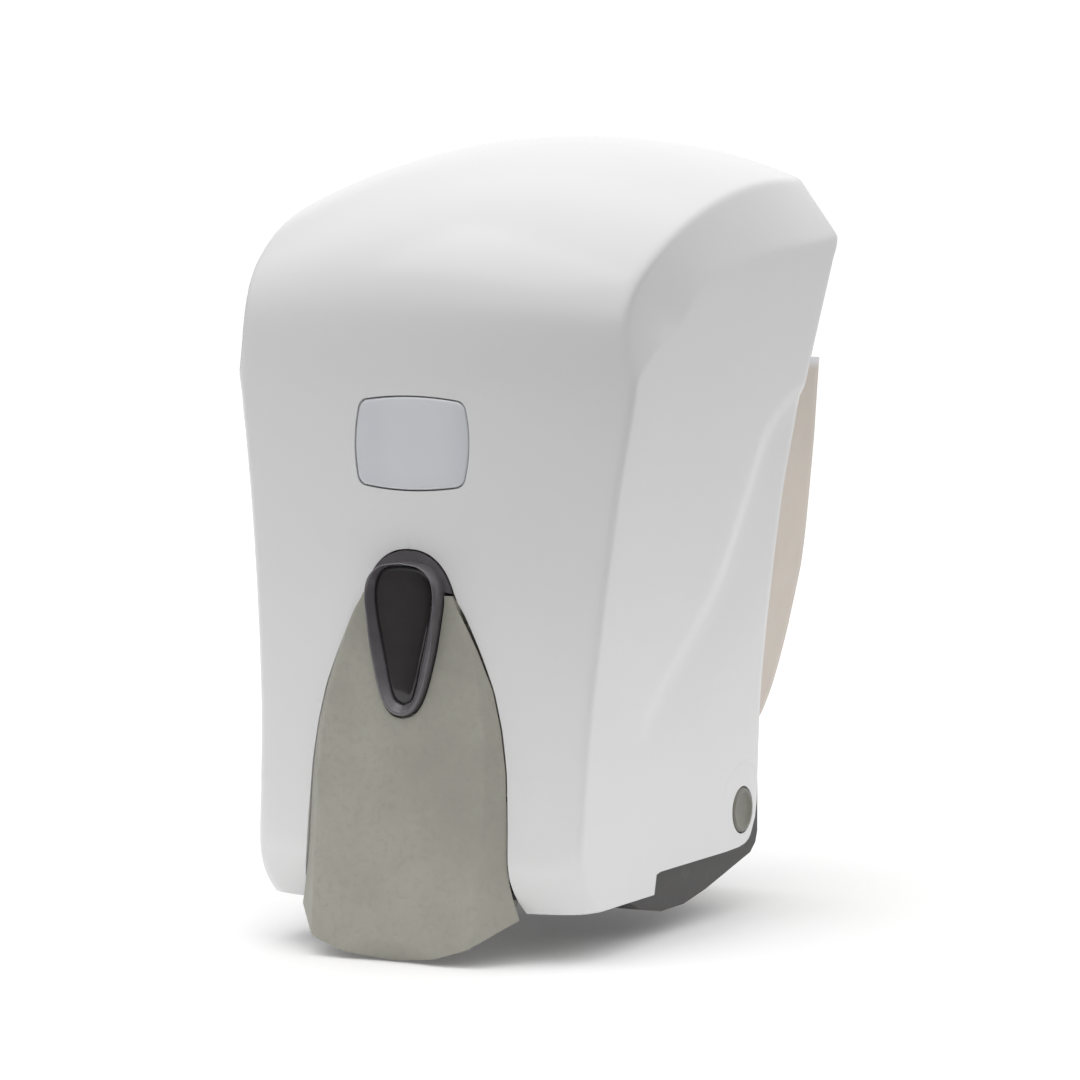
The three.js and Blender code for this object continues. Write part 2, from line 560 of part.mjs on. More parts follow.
function pumpBody() {
  const { z, outer, bore, rearY, frontY, chamberRearY } = PUMP;
  let body = rod("y", outer, frontY, rearY, 0, z);
  body = body.add(rod("z", INLET.outer, z, INLET.topZ, 0, INLET.y));
  body = body.add(rod("z", 8, z, -72.8, 0, INLET.y));
  body = body.add(rod("z", OUTLET.outer + 2, -94.4, z, 0, OUTLET.y));
  const { halfX, halfY, bottomZ, topZ } = PUMP_FLANGE;
  body = body.add(box(-halfX, halfX, PUMP_SCREW_Y - halfY, PUMP_SCREW_Y + halfY, bottomZ, topZ));
  body = body.subtract(rod("y", bore, frontY - 1, chamberRearY, 0, z));
  body = body.subtract(rod("z", INLET.bore, z, -60, 0, INLET.y));
  body = body.subtract(rod("z", OUTLET.outer + GAP, -96, -91.4, 0, OUTLET.y));
  body = body.subtract(rod("z", OUTLET.bore, -96, z, 0, OUTLET.y));
  for (const x of PUMP_SCREWS) body = body.subtract(rod("z", SCREW_HOLE.pump, -96, -80, x, PUMP_SCREW_Y, SCREW_FACETS));
  return body;
}

function pumpGland() {
  // the threaded ring that keeps the piston in the barrel
  const inner = PISTON.rodRadius + 0.3;
  const { outer, frontY, bore } = PUMP;
  const plug = bore - 0.3;
  const profile = [
    [inner, 0], [outer + 1.6, 0], [outer + 1.6, 2.4], [plug, 2.4], [plug, 4.6], [inner, 4.6], [inner, 0],
  ];
  const geometry = turned(profile);
  return solid(geometry.translate(0, frontY - 2.7, PUMP.z));
}

function inletValve() {
  const profile = [[0, 0], [2.9, 0], [2.9, 0.6], [1.2, 1], [0.9, 4.4], [0, 4.6]];
  return solid(turned(profile, 20).rotateX(Math.PI / 2).translate(0, INLET.y, -74.2));
}

function nozzle() {
  const { outer, bore, bottomZ, y } = OUTLET;
  const length = -91.8 - bottomZ;
  const profile = [
    [bore - 0.6, 0], [outer - 1.4, 0], [outer - 0.6, 3], [outer, 4.4], [outer, length], [bore, length],
    [bore, 3], [bore - 0.6, 2], [bore - 0.6, 0],
  ];
  return solid(turned(profile).rotateX(Math.PI / 2).translate(0, y, bottomZ));
}

function outletValve() {
  const profile = [[0, 0.2], [1.2, 0], [2.1, 2.2], [2.3, 4.6], [0, 4.6]];
  return solid(turned(profile, 20).rotateX(Math.PI / 2).translate(0, OUTLET.y, OUTLET.bottomZ + 3.2));
}

function piston() {
  const { headRadius, headRear, headFront, rodRadius, rodFront, knobRadius } = PISTON;
  const length = headRear - rodFront;
  const head = headFront - rodFront;
  const profile = [
    [0, 0], [knobRadius - 0.6, 0], [knobRadius, 0.6], [knobRadius, 2.2], [rodRadius, 3.4], [rodRadius, head],
    [headRadius, head], [headRadius, head + 1.2], [headRadius - 1.1, head + 1.2], [headRadius - 1.1, head + 3.2],
    [headRadius, head + 3.2], [headRadius, length], [0, length],
  ];
  return solid(turned(profile).translate(0, rodFront, PUMP.z));
}

function pistonSeal() {
  const middle = PISTON.headFront + 2.2;
  const inner = PISTON.headRadius - 0.8;
  const profile = [[inner, -0.7], [6.8, -0.7], [6.95, 0], [6.8, 0.7], [inner, 0.7], [inner, -0.7]];
  return solid(turned(profile).translate(0, middle, PUMP.z));
}

// A helical spring of round wire about the local Z axis, from z = 0 to the given length.
function helix(radius, wire, turns, length) {
  class Coil extends THREE.Curve {
    getPoint(t, target = new THREE.Vector3()) {
      const angle = 2 * Math.PI * turns * t;
      return target.set(radius * Math.cos(angle), radius * Math.sin(angle), wire + (length - 2 * wire) * t);
    }
  }
  const section = new THREE.Shape();
  section.absarc(0, 0, wire, 0, 2 * Math.PI);
  const sides = new THREE.Shape(section.getPoints(3).slice(0, -1));
  return new THREE.ExtrudeGeometry(sides, { steps: turns * 14, extrudePath: new Coil(), bevelEnabled: false });
}

function returnSpring() {
  const length = PUMP.chamberRearY - PISTON.headRear - 0.8;
  const geometry = helix(SPRING.radius, SPRING.wire, SPRING.turns, length);
  return solid(geometry.rotateX(-Math.PI / 2).translate(0, PISTON.headRear + 0.4, PUMP.z));
}

function latchSpring() {
  const { rearY, frontY, springZ, springRadius, springWire, bottomZ } = LATCH;
  const geometry = helix(springRadius, springWire, 4, bottomZ - springZ - GAP);
  return solid(geometry.translate(0, (rearY + frontY) / 2, springZ));
}

function latchGuide() {
  const { halfWidth, rearY, frontY, wall, guideBottomZ, guideTopZ } = LATCH;
  const outerHalf = halfWidth + wall + 1;
  const block = box(-outerHalf, outerHalf, frontY - wall, -PLATE_THICKNESS - PLATE_FIT, guideBottomZ, guideTopZ);
  const slot = box(-halfWidth - GAP, halfWidth + GAP, frontY - GAP, rearY + GAP, guideBottomZ + wall + 0.2, FAR);
  const window = box(-halfWidth / 2, halfWidth / 2, frontY - 10, rearY - 3, guideTopZ - 4, FAR);
  return block.subtract(slot).subtract(window);
}

function latchSlider() {
  const { halfWidth, rearY, frontY, bottomZ, topZ, hookReach } = LATCH;
  const body = box(-halfWidth, halfWidth, frontY, rearY, bottomZ, topZ - 3);
  const tip = frontY - hookReach;
  const tongue = [[rearY, topZ - 4], [frontY, topZ - 4], [tip, topZ - 3], [tip, topZ - 1.6], [rearY - 2, topZ]];
  const hook = solid(prismX(shapeOf(tongue), -halfWidth + 1, halfWidth - 1));
  const springHole = rod("z", halfWidth / 2, 70, bottomZ + 1, 0, (rearY + frontY) / 2, SCREW_FACETS);
  return body.add(hook).subtract(springHole);
}

// A pan-head screw with its head on +local Y and a cross recess.
function screw(headRadius, headHeight, shankRadius, length) {
  const profile = [
    [0, -length], [shankRadius * 0.5, -length], [shankRadius, -length + 1], [shankRadius, 0], [headRadius, 0],
    [headRadius, headHeight * 0.5], [headRadius * 0.75, headHeight], [0, headHeight],
  ];
  const recess = headRadius * 0.5;
  const blade = (x, z) => box(-x, x, headHeight * 0.55, headHeight * 2, -z, z);
  const body = solid(turned(profile, 18));
  return body.subtract(blade(recess, 0.35)).subtract(blade(0.35, recess));
}

// ---------------------------------------------------------------- materials

function plastic(colour, roughness) {
  return new THREE.MeshStandardMaterial({ color: colour, roughness, metalness: 0 });
}

function metal(colour, roughness) {
  return new THREE.MeshStandardMaterial({ color: colour, roughness, metalness: 1 });
}

const MATERIALS = {
  white: () => plastic(0xf2f2f3, 0.22),
  badge: () => plastic(0xf0f2fa, 0.08),
  darkClear: () => plastic(0x3a3536, 0.1),
  bezel: () => plastic(0x5c585c, 0.25),
  lever: () => plastic(0x8e8b80, 0.55),
  pin: () => plastic(0x7d7a71, 0.5),
  chassis: () => plastic(0x2e2a29, 0.45),
  tank: () => plastic(0xe4dccf, 0.4),
  acetal: () => plastic(0xe9e8e2, 0.35),
  rubber: () => plastic(0x26262a, 0.8),
  silicone: () => plastic(0xd8dde0, 0.5),
  steel: () => metal(0xb9bcc0, 0.3),
};

// ---------------------------------------------------------------- assembly

const dispenser = new THREE.Group();

function place(name, manifold, material, parent = dispenser) {
  const mesh = new THREE.Mesh(geometryOf(manifold), MATERIALS[material]());
  mesh.name = name;
  parent.add(mesh);
  return mesh;
}

const coverGroup = new THREE.Group();
const leverGroup = new THREE.Group();
const pumpGroup = new THREE.Group();
const latchGroup = new THREE.Group();
coverGroup.add(leverGroup);
dispenser.add(coverGroup, pumpGroup, latchGroup);

place("cover_shell", coverShell(), "white", coverGroup);
place("name_badge", nameBadge(), "badge", coverGroup);
place("sight_glass_bezel", sightGlassBezel(), "bezel", coverGroup);
place("sight_glass_lens", sightGlassLens(), "darkClear", coverGroup);
place("lever_axle", leverAxle(), "steel", coverGroup);
place("push_lever", pushLever(), "lever", leverGroup);
place("lever_nose", leverNose(), "acetal", leverGroup);

place("wall_plate", wallPlate(), "chassis");
place("base_chassis", baseChassis(), "chassis");
place("hinge_pin_left", hingePin(-1), "pin");
place("hinge_pin_right", hingePin(1), "pin");
place("tank", tank(), "tank");
place("tank_outlet_seal", outletSeal(), "rubber");

place("pump_body", pumpBody(), "acetal", pumpGroup);
place("pump_gland", pumpGland(), "acetal", pumpGroup);
place("inlet_valve", inletValve(), "silicone", pumpGroup);
place("outlet_valve", outletValve(), "silicone", pumpGroup);
place("nozzle", nozzle(), "acetal", pumpGroup);
place("piston", piston(), "acetal", pumpGroup);
place("piston_seal", pistonSeal(), "rubber", pumpGroup);
place("return_spring", returnSpring(), "steel", pumpGroup);

place("latch_guide", latchGuide(), "chassis", latchGroup);
place("latch_slider", latchSlider(), "chassis", latchGroup);
place("latch_spring", latchSpring(), "steel", latchGroup);

WALL_SCREWS.forEach(([x, z], i) => {
  const mesh = place(`wall_screw_${i + 1}`, screw(4.2, 2.4, 2.1, 2.9), "steel");
  mesh.rotation.x = Math.PI;
  mesh.position.set(x, -PLATE_THICKNESS - PLATE_FIT, z);
});
CHASSIS_SCREWS.forEach((x, i) => {
  const mesh = place(`chassis_screw_${i + 1}`, screw(3.1, 2, 1.5, 26), "steel");
  mesh.rotation.x = Math.PI;
  mesh.position.set(x, BASE_BLOCK.frontY - 2, CHASSIS_SCREW_Z);
});
PUMP_SCREWS.forEach((x, i) => {
  const mesh = place(`pump_screw_${i + 1}`, screw(2.6, 1.6, 1, 5.2), "steel", pumpGroup);
  mesh.rotation.x = Math.PI / 2;
  mesh.position.set(x, PUMP_SCREW_Y, PUMP_FLANGE.topZ + PLATE_FIT);
});

export default dispenser;
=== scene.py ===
"""Wall mounted soap dispenser: the finished surfaces of every piece, built round the packed part."""

import math

import bmesh
import bpy
import numpy as np
from mathutils import Matrix, Vector


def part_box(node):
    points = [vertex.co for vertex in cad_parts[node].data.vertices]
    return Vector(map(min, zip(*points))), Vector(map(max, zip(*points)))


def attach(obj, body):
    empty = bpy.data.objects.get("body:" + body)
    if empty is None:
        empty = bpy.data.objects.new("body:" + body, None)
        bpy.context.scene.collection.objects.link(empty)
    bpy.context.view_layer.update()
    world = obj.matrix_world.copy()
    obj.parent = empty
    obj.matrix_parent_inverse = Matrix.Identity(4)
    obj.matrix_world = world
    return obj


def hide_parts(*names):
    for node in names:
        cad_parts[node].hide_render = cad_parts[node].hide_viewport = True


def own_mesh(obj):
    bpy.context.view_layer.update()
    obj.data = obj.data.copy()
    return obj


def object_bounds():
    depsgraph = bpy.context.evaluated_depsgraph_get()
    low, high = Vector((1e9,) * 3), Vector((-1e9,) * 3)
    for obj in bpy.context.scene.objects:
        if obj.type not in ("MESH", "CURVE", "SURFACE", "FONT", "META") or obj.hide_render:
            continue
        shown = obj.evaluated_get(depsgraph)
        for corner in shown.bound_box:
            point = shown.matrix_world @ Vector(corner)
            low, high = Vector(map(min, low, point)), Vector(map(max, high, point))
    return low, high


bl_info = {
    "name": "Wall Mounted Soap Dispenser",
    "version": (1, 0, 0),
    "blender": (4, 5, 0),
    "location": "View3D > Sidebar > Dispenser",
    "description": "Builds every piece of a wall mounted soap dispenser",
    "category": "Add Mesh",
}

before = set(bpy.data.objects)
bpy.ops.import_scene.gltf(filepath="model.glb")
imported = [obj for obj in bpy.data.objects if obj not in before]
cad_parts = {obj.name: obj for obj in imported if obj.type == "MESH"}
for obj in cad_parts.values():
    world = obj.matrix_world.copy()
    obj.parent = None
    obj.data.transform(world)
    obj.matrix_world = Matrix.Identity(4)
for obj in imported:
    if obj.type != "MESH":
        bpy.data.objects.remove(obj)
CAD_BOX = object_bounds()
MM = 0.001

# Centre line of the cover's top and front, [y, z] in mm, from the rear rim to below the lower lip.
COVER_PROFILE = [
    (-18, 104), (-42, 105), (-68, 104), (-92, 100), (-112, 93.2), (-127, 84.2), (-138, 74),
    (-144, 61.5), (-144.6, 48), (-144, 37), (-144.6, 8), (-145.5, -20), (-147.8, -57),
    (-149.6, -78), (-149.5, -84), (-148.3, -88), (-146.5, -91), (-144.2, -93.7), (-140.5, -97),
]
COVER_LIP_Z = -93.7
# Half width of the cover at its rear by height, and the share it loses per mm further forward.
COVER_HALF_WIDTH = [
    (-120, 48.4), (-80, 48.4), (-48.8, 49), (-26.8, 50.8), (-4.9, 53), (16.9, 55.6), (25, 56.9),
    (40.8, 59.3), (47.8, 60.4), (63, 62.1), (77.4, 64.3), (120, 70.8),
]
COVER_DRAFT = 0.00018
COVER_REAR_Y = -18
CROWN_REAR = 0.0039
CROWN_FRONT = 0.0032
# By the number of a COVER_PROFILE point: where the shoulder band starts, its slope, and where
# on the rear rim and lower edge the side's lines end, [y, z].
BAND_START = [
    (0, 52.9), (1, 56), (2, 58.5), (3, 59.8), (4, 59.6), (5, 58.2), (6, 56.6), (7, 55.6),
    (8, 57), (9, 59), (10, 62),
]
BAND_SLOPE = [(0, 1.36), (1, 2.2), (2, 3.5), (3, 6), (4, 8), (5, 8), (6, 6), (7, 4), (9, 2.5)]
BAND_END = 10
CREASE_SOFTNESS = [(0, 0.8), (3, 0.9), (6, 1.0), (8, 1.3), (10, 1.6), (13, 2.0), (14, 3.0), (17, 5.5)]
FLANK_REACH = [(0, 3.2), (5, 3.0), (6, 2.4), (7.5, 2.4), (9, 5), (13, 6), (15, 6.5), (17, 6)]
SIDE_ENDS = [
    (0, -19.2, 71.3), (4, -20.6, 64.5), (7, -24.5, 50), (8, -26, 43), (9, -27.2, 36), (10, -31, 8),
    (11, -33, -20), (12, -34.6, -57), (13, -35, -76), (13.5, -36.6, -83.4), (14, -41, -87),
    (14.3, -48, -88), (14.95, -97, -88), (17, -98.5, -93.7),
]
# Upper edge of the shallow hollow in each side, [z, y], from its lower end up.
HOLLOW_EDGE = [
    (-60, -118), (-44, -103), (-23, -77), (-13, -66.8), (6.5, -56.5), (14.4, -52.9),
    (22.3, -49.8), (27, -46.3), (31.8, -39.5), (34.6, -34.6), (37, -28), (40, -15),
]
# Right half of the lever opening seen from the front, [z, half width], from its lower end up.
OPENING = [
    (-97, 33), (-94.8, 32.2), (-91, 31.2), (-88, 30.5), (-84, 29.8), (-80, 29.4), (-72, 29.2),
    (-57, 28.4), (-46.6, 26.9), (-36.6, 24.5), (-27.4, 20.8), (-20, 17.3), (-11.8, 12.9),
    (-7.8, 11.2), (-4.2, 8.4), (-1.9, 4.6), (-1.1, 0),
]
OPENING_TOP_Z = -1.1
ARCH_RISE = 5.733
ARCH_PINCH = 0.547

# Centre line of the lever's front, [y, z], and half width of its flat, [z, half width].
LEVER_PROFILE = [
    (-146.2, -9), (-147, -24), (-148.6, -43), (-151.2, -70), (-154, -90), (-155.6, -101), (-155.9, -110),
]
LEVER_FACET = [
    (-110, 22.8), (-80, 24), (-60, 24.4), (-50, 23.8), (-40, 22.2), (-30, 19.8), (-20, 16.4), (-9, 13),
]
LEVER_TOP_Z = -12.7
# Lower edge of the lever by half width, [x, z].
LEVER_FOOT = [(0, -106.3), (12, -105), (23.1, -101.4), (28.2, -97.4), (31.8, -94.9)]
SCALLOP = {"top": -100.6, "bend": 0.0165, "slope": 0.5}

# Right half of the sight glass seen from the front, [x, z], from the top down.
BEZEL = [
    (0, -4.3), (5.6, -5.2), (9.3, -8.2), (10.5, -13), (10.1, -18), (9.0, -26), (7.9, -31.5),
    (6.5, -37), (4.7, -41), (2.4, -43.2), (0, -43.8),
]
# Right half of the lens, [x, z], from the top down.
LENS = [
    (0, -5.2), (4.8, -5.8), (7.3, -8.2), (8.2, -12.5), (7.7, -18), (6.2, -25.2), (5.0, -30.5),
    (3.9, -35.7), (2.5, -39.6), (0, -40.9),
]
GLASS_FRONT_Y = -150.2
FLANGE_Y = -145.2
FLANGE_THICKNESS = 2.4
GAP = 0.4

# Opposite corners of boxes, [x, y, z]. The lugs are the right one of a mirrored pair.
KEY_NOTCH = ((-4.2, -21, 99), (4.2, -14, 108))
LATCH_BAR = ((-14, -21.6, 99.6), (14, -19.4, 102.2))
AXLE_LUG = ((15.2, -141.6, -21), (17.8, -133.4, -1.5))
LEVER_LUG = ((12.3, -144.2, -20.2), (14.5, -134.2, -13.8))
LEVER_RIB = ((-1.2, -149.6, -97), (1.2, -139.4, -52))

WINDOW_Z = 25.9
WINDOW_DEPTH = 1.9
POCKET_FRONT_Y = -160
# How far behind the cover's surface the window lies, [share of the way in from its rim, depth].
WINDOW_RISE = [
    (0.0, 1.7), (0.0, 0.45), (0.006, 0.2), (0.022, 0.02), (0.05, -0.08), (0.3, -0.1), (0.55, -0.12),
    (0.8, -0.12), (0.97, -0.12),
]
HINGE_HOLE_RADIUS = 6.5
HINGE_HOLE_LENGTH = 16
# Where the holes, the rings and the right-hand pin start along x. All of them run towards +x.
HINGE_HOLE_STARTS = (42, -58)
HINGE_RING_STARTS = (44.6, -46.0)
HINGE_PIN_X = 40.6
# Sections of the turned pieces, [radius, height].
HINGE_RING = [(6.5, 0), (8.5, 0), (8.5, 1.4), (6.5, 1.4), (6.5, 0)]
HINGE_CAP = [
    (0, 0), (2.6, 0), (3, 0.4), (3, 6.7), (5.7, 6.7), (6.1, 7.0), (6.1, 7.35), (5.98, 7.72),
    (5.7, 7.92), (5.35, 8.0), (5.0, 7.94), (4.7, 7.76), (4.45, 7.56), (4.1, 7.4), (3.2, 7.24),
    (1.6, 7.12), (0, 7.08),
]
LEVER_BOSS = [(0, 0), (4.6, 0), (5, 0.4), (5, 13), (0, 13)]
TANK_BOSS = [(6.0, 0), (8.2, 0), (8.4, 0.3), (8.4, 3), (6.0, 3), (6.0, 0)]
TANK_OUTLET = {"radius": 6.0, "y": -87, "boss_z": -70.4, "hole_z": -76, "hole_length": 16}

# Size of the wall plate as a share of the packed one's, so that its corner stays behind the cover.
PLATE_SIZE = (0.97, 1, 0.985)

# Half width of the tank at its rear, [z, half width].
TANK_HALF_WIDTH = [
    (-69.2, 14), (-68.6, 20), (-67, 25), (-63, 31.5), (-57, 36.4), (-49, 39.7), (-41, 42.2),
    (-31.6, 44.7), (-20.6, 47.2), (-12.8, 48.9), (-3.4, 50.1), (9, 51.3), (22, 52.5), (39, 53.6),
    (44, 54),
]
TANK_DRAFT = 0.0004
TANK_FOOT_Z = -50
TANK_BOTTOM_Z = -69.2


# ------------------------------------------------------------------ inputs the user can change


def number_input(name, default, text, **more):
    return bpy.props.FloatProperty(name=name, description=text, default=default, **more)


def length_input(name, default, text):
    return number_input(name, default, text, unit="LENGTH")


def angle_input(name, degrees, text):
    return number_input(name, math.radians(degrees), text, subtype="ANGLE")


def colour_input(name, default, text):
    limits = {"subtype": "COLOR", "size": 3, "min": 0, "max": 1}
    return bpy.props.FloatVectorProperty(name=name, description=text, default=default, **limits)


# ------------------------------------------------------------------ curves and meshes


def bell(span, width):
    """Weights of a bell curve over 2 * span + 1 samples, adding up to 1."""
    weights = np.exp(-0.5 * (np.arange(-span, span + 1) / width) ** 2)
    return weights / weights.sum()


def run_along(line):
    """Distance of each point of a polyline from its start."""
    return np.concatenate([[0], np.cumsum(np.linalg.norm(np.diff(line, axis=0), axis=1))])


def blurred(rows, reach, count=600):
    """A smooth function through a table of (key, value) rows: straight between rows, then softened."""
    keys, values = (np.array(c, float) for c in zip(*rows))
    fine = np.linspace(keys[0], keys[-1], count)
    straight = np.interp(fine, keys, values)
    step = fine[1] - fine[0]
    span = max(int(3 * reach / step), 1)
    low = 2 * straight[0] - straight[span:0:-1]
    high = 2 * straight[-1] - straight[-2 : -span - 2 : -1]
    soft = np.convolve(np.concatenate([low, straight, high]), bell(span, reach / step), "valid")
    return lambda at: np.interp(at, fine, soft)


def through(points, at):
    """Position on a smooth curve through points, at a point number that may be a fraction."""
    points = np.array(points, float)
    at = np.clip(np.asarray(at, float), 0, len(points) - 1)
    i = np.minimum(at.astype(int), len(points) - 2)
    t = (at - i)[..., None]
    a, b, c, d = (points[np.clip(i + k, 0, len(points) - 1)] for k in (-1, 0, 1, 2))
    m, n = (c - a) / 2, (d - b) / 2
    return (2 * b - 2 * c + m + n) * t**3 + (-3 * b + 3 * c - 2 * m - n) * t**2 + m * t + b


def smoothstep(low, high, x):
    t = np.clip((np.asarray(x, float) - low) / (high - low), 0, 1)
    return t * t * (3 - 2 * t)


def resampled(line, count, start=0.0):
    """count points evenly spaced along a polyline, from the distance start to its end."""
    run = run_along(line)
    at = np.linspace(start, run[-1], count)
    return np.stack([np.interp(at, run, line[:, k]) for k in range(line.shape[1])], 1)


def convolved(line, weights):
    return np.stack([np.convolve(line[:, k], weights, "valid") for k in range(2)], 1)


def softened_line(line, reach, step=0.25):
    """A polyline that starts on the mirror plane x = 0, with its corners rounded over reach mm."""
    even = resampled(line, int(run_along(line)[-1] / step) + 1)
    span = int(3 * reach / step)
    before = even[span:0:-1] * [-1, 1]
    after = 2 * even[-1] - even[-2 : -span - 2 : -1]
    return convolved(np.concatenate([before, even, after]), bell(span, reach / step))


def new_mesh(name, points, faces):
    """A mesh from points in mm."""
    mesh = bpy.data.meshes.new(name)
    mesh.from_pydata([tuple(p) for p in np.asarray(points, float) * MM], [], faces)
    mesh.validate()
    return mesh


def grid_faces(rows, columns, offset=0, turned=False, closed=False):
    """Quads of a grid whose points are listed row by row; closed joins the last column to the first."""
    faces = []
    for i in range(rows - 1):
        for j in range(columns if closed else columns - 1):
            k = (j + 1) % columns
            a, b = offset + i * columns + j, offset + i * columns + k
            quad = (a, a + columns, b + columns, b)
            faces.append(quad[::-1] if turned else quad)
    return faces


def both_halves(name, half):
    """A mesh of a grid of points [row, column, xyz] and its mirror image, joined on the plane x = 0."""
    rows, columns = half.shape[:2]
    right = half.reshape(-1, 3)
    faces = grid_faces(rows, columns) + grid_faces(rows, columns, len(right), turned=True)
    mesh = new_mesh(name, np.concatenate([right, right * [-1, 1, 1]]), faces)
    merged(mesh)
    return mesh


def merged(mesh, distance=0.01):
    work = bmesh.new()
    work.from_mesh(mesh)
    bmesh.ops.remove_doubles(work, verts=work.verts, dist=distance * MM)
    bmesh.ops.dissolve_degenerate(work, edges=work.edges, dist=0.001 * MM)
    work.to_mesh(mesh)
    work.free()


def outward(mesh):
    work = bmesh.new()
    work.from_mesh(mesh)
    bmesh.ops.recalc_face_normals(work, faces=work.faces)
    work.to_mesh(mesh)
    work.free()


def shaded(mesh, angle=35):
    mesh.shade_smooth()
    mesh.set_sharp_from_angle(angle=math.radians(angle))


def placed(name, mesh):
    piece = bpy.data.objects.new(name, mesh)
    bpy.context.scene.collection.objects.link(piece)
    return piece


def settled(piece):
    """Makes what a piece's modifiers give its plain mesh."""
    graph = bpy.context.evaluated_depsgraph_get()
    mesh = bpy.data.meshes.new_from_object(piece.evaluated_get(graph))
    piece.modifiers.clear()
    old, piece.data = piece.data, mesh
    bpy.data.meshes.remove(old)
    mesh.name = piece.name
    return piece


def walled(piece, thickness, edge, segments=3):
    wall = piece.modifiers.new("Wall", "SOLIDIFY")
    wall.thickness = thickness * MM
    wall.offset = -1
    wall.use_even_offset = False
    rounded(piece, edge, segments, 60)


def rounded(piece, width, segments=3, angle=30, harden=False):
    bevel = piece.modifiers.new("Rounded edges", "BEVEL")
    bevel.width = width * MM
    bevel.segments = segments
    bevel.limit_method = "ANGLE"
    bevel.angle_limit = math.radians(angle)
    bevel.miter_outer = "MITER_ARC"
    bevel.harden_normals = harden


def ring_loft(name, outlines):
    """A closed tube through outlines of equal length, each a closed loop; the last joins the first."""
    loops = np.array(list(outlines) + [outlines[0]])
    rows, columns = loops.shape[:2]
    mesh = new_mesh(name, loops.reshape(-1, 3), grid_faces(rows, columns, closed=True))
    merged(mesh)
    outward(mesh)
    return mesh


def capped_loft(name, outlines):
    """A solid through outlines of equal length, the first and last filled."""
    loops = np.array(outlines)
    rows, columns = loops.shape[:2]
    last = (rows - 1) * columns
    faces = grid_faces(rows, columns, closed=True)
    faces += [tuple(range(columns)), tuple(range(last + columns - 1, last - 1, -1))]
    mesh = new_mesh(name, loops.reshape(-1, 3), faces)
    outward(mesh)
    return mesh


def turned_piece(name, profile, segments, place):
    """A solid of revolution from (radius, height) rows, its axis the local Z, put where place says."""
    angles = np.arange(segments) * 2 * math.pi / segments
    loops = [
        [(r * math.cos(a), r * math.sin(a), h) for a in angles] if r > 0 else [(0, 0, h)] * segments
        for r, h in profile
    ]
    points = np.array(loops).reshape(-1, 3)
    mesh = new_mesh(name, points, grid_faces(len(profile), segments, closed=True))
    merged(mesh)
    mesh.transform(place)
    outward(mesh)
    return mesh


def closed_outline(half, count):
    """count points evenly round a closed outline from its right half [x, z], top to bottom."""
    curve = through(half, np.linspace(0, len(half) - 1, 300))
    curve[0, 0] = curve[-1, 0] = 0
    whole = np.concatenate([curve, curve[-2::-1] * [-1, 1]])
    return resampled(whole, count + 1)[:-1]


def shrunk(outline, margin):
    """A closed outline moved inwards by the margin."""
    along = np.roll(outline, -1, 0) - np.roll(outline, 1, 0)
    along /= np.linalg.norm(along, axis=1)[:, None]
    return outline + np.stack([along[:, 1], -along[:, 0]], 1) * margin


def facing(outline, y):
    """Points of an [x, z] outline at a depth y, a number or one for each point."""
    return np.stack([outline[:, 0], np.broadcast_to(y, len(outline)), outline[:, 1]], 1)


def joined(name, meshes):
    work = bmesh.new()
    for mesh in meshes:
        work.from_mesh(mesh)
        bpy.data.meshes.remove(mesh)
    whole = bpy.data.meshes.new(name)
    work.to_mesh(whole)
    work.free()
    return whole


def grown_by(piece, meshes):
    """Adds loose meshes to a piece."""
    old, piece.data = piece.data, joined(piece.name, [*meshes, piece.data.copy()])
    bpy.data.meshes.remove(old)


def block(low, high, edge=0.3, segments=2):
    """A box between two corners in mm with rounded edges."""
    work = bmesh.new()
    size = Vector(high) - Vector(low)
    middle = (Vector(high) + Vector(low)) / 2
    place = Matrix.Translation(middle * MM) @ Matrix.Diagonal((*(size * MM), 1))
    bmesh.ops.create_cube(work, size=1, matrix=place)
    sizes = {"offset": edge * MM, "segments": segments, "profile": 0.5}
    bmesh.ops.bevel(work, geom=work.edges, affect="EDGES", **sizes)
    mesh = bpy.data.meshes.new("block")
    work.to_mesh(mesh)
    work.free()
    return mesh


def block_pair(low, high, edge):
    """A box and its mirror image on the other side of the plane x = 0."""
    return [block(low, high, edge), block((-high[0], *low[1:]), (-low[0], *high[1:]), edge)]


def along_x(x, y, z):
    return Matrix.Translation(Vector((x, y, z)) * MM) @ Matrix.Rotation(math.pi / 2, 4, "Y")


def along_y(x, y, z):
    return Matrix.Translation(Vector((x, y, z)) * MM) @ Matrix.Rotation(math.pi / 2, 4, "X")


def finished(piece, body, material, replaces=()):
    """The last steps of every piece: its finish, the body it rides on and the CAD nodes it stands for."""
    piece.data.materials.clear()
    piece.data.materials.append(material)
    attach(piece, body)
    if replaces:
        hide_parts(*replaces)
    return piece


# ------------------------------------------------------------------ finishes


class Signal:
    """A shader socket that takes part in sums as if it were a number."""

    def __init__(self, recipe, socket):
        self.recipe, self.socket = recipe, socket

    def worked(self, operation, *values):
        return self.recipe.node("ShaderNodeMath", {"operation": operation}, dict(enumerate(values)))

    def __add__(self, other):
        return self.worked("ADD", self, other)

    def __sub__(self, other):
        return self.worked("SUBTRACT", self, other)

    def __rsub__(self, other):
        return self.worked("SUBTRACT", other, self)

    def __mul__(self, other):
        return self.worked("MULTIPLY", self, other)

    def __pow__(self, other):
        return self.worked("POWER", self, other)

    __radd__ = __add__
    __rmul__ = __mul__

    def between(self, low, high, first=0.0, last=1.0):
        """The first value below low and the last above high, with a smooth rise."""
        sockets = {"Value": self, "From Min": low, "From Max": high, "To Min": first, "To Max": last}
        return self.recipe.node("ShaderNodeMapRange", {"interpolation_type": "SMOOTHSTEP"}, sockets)


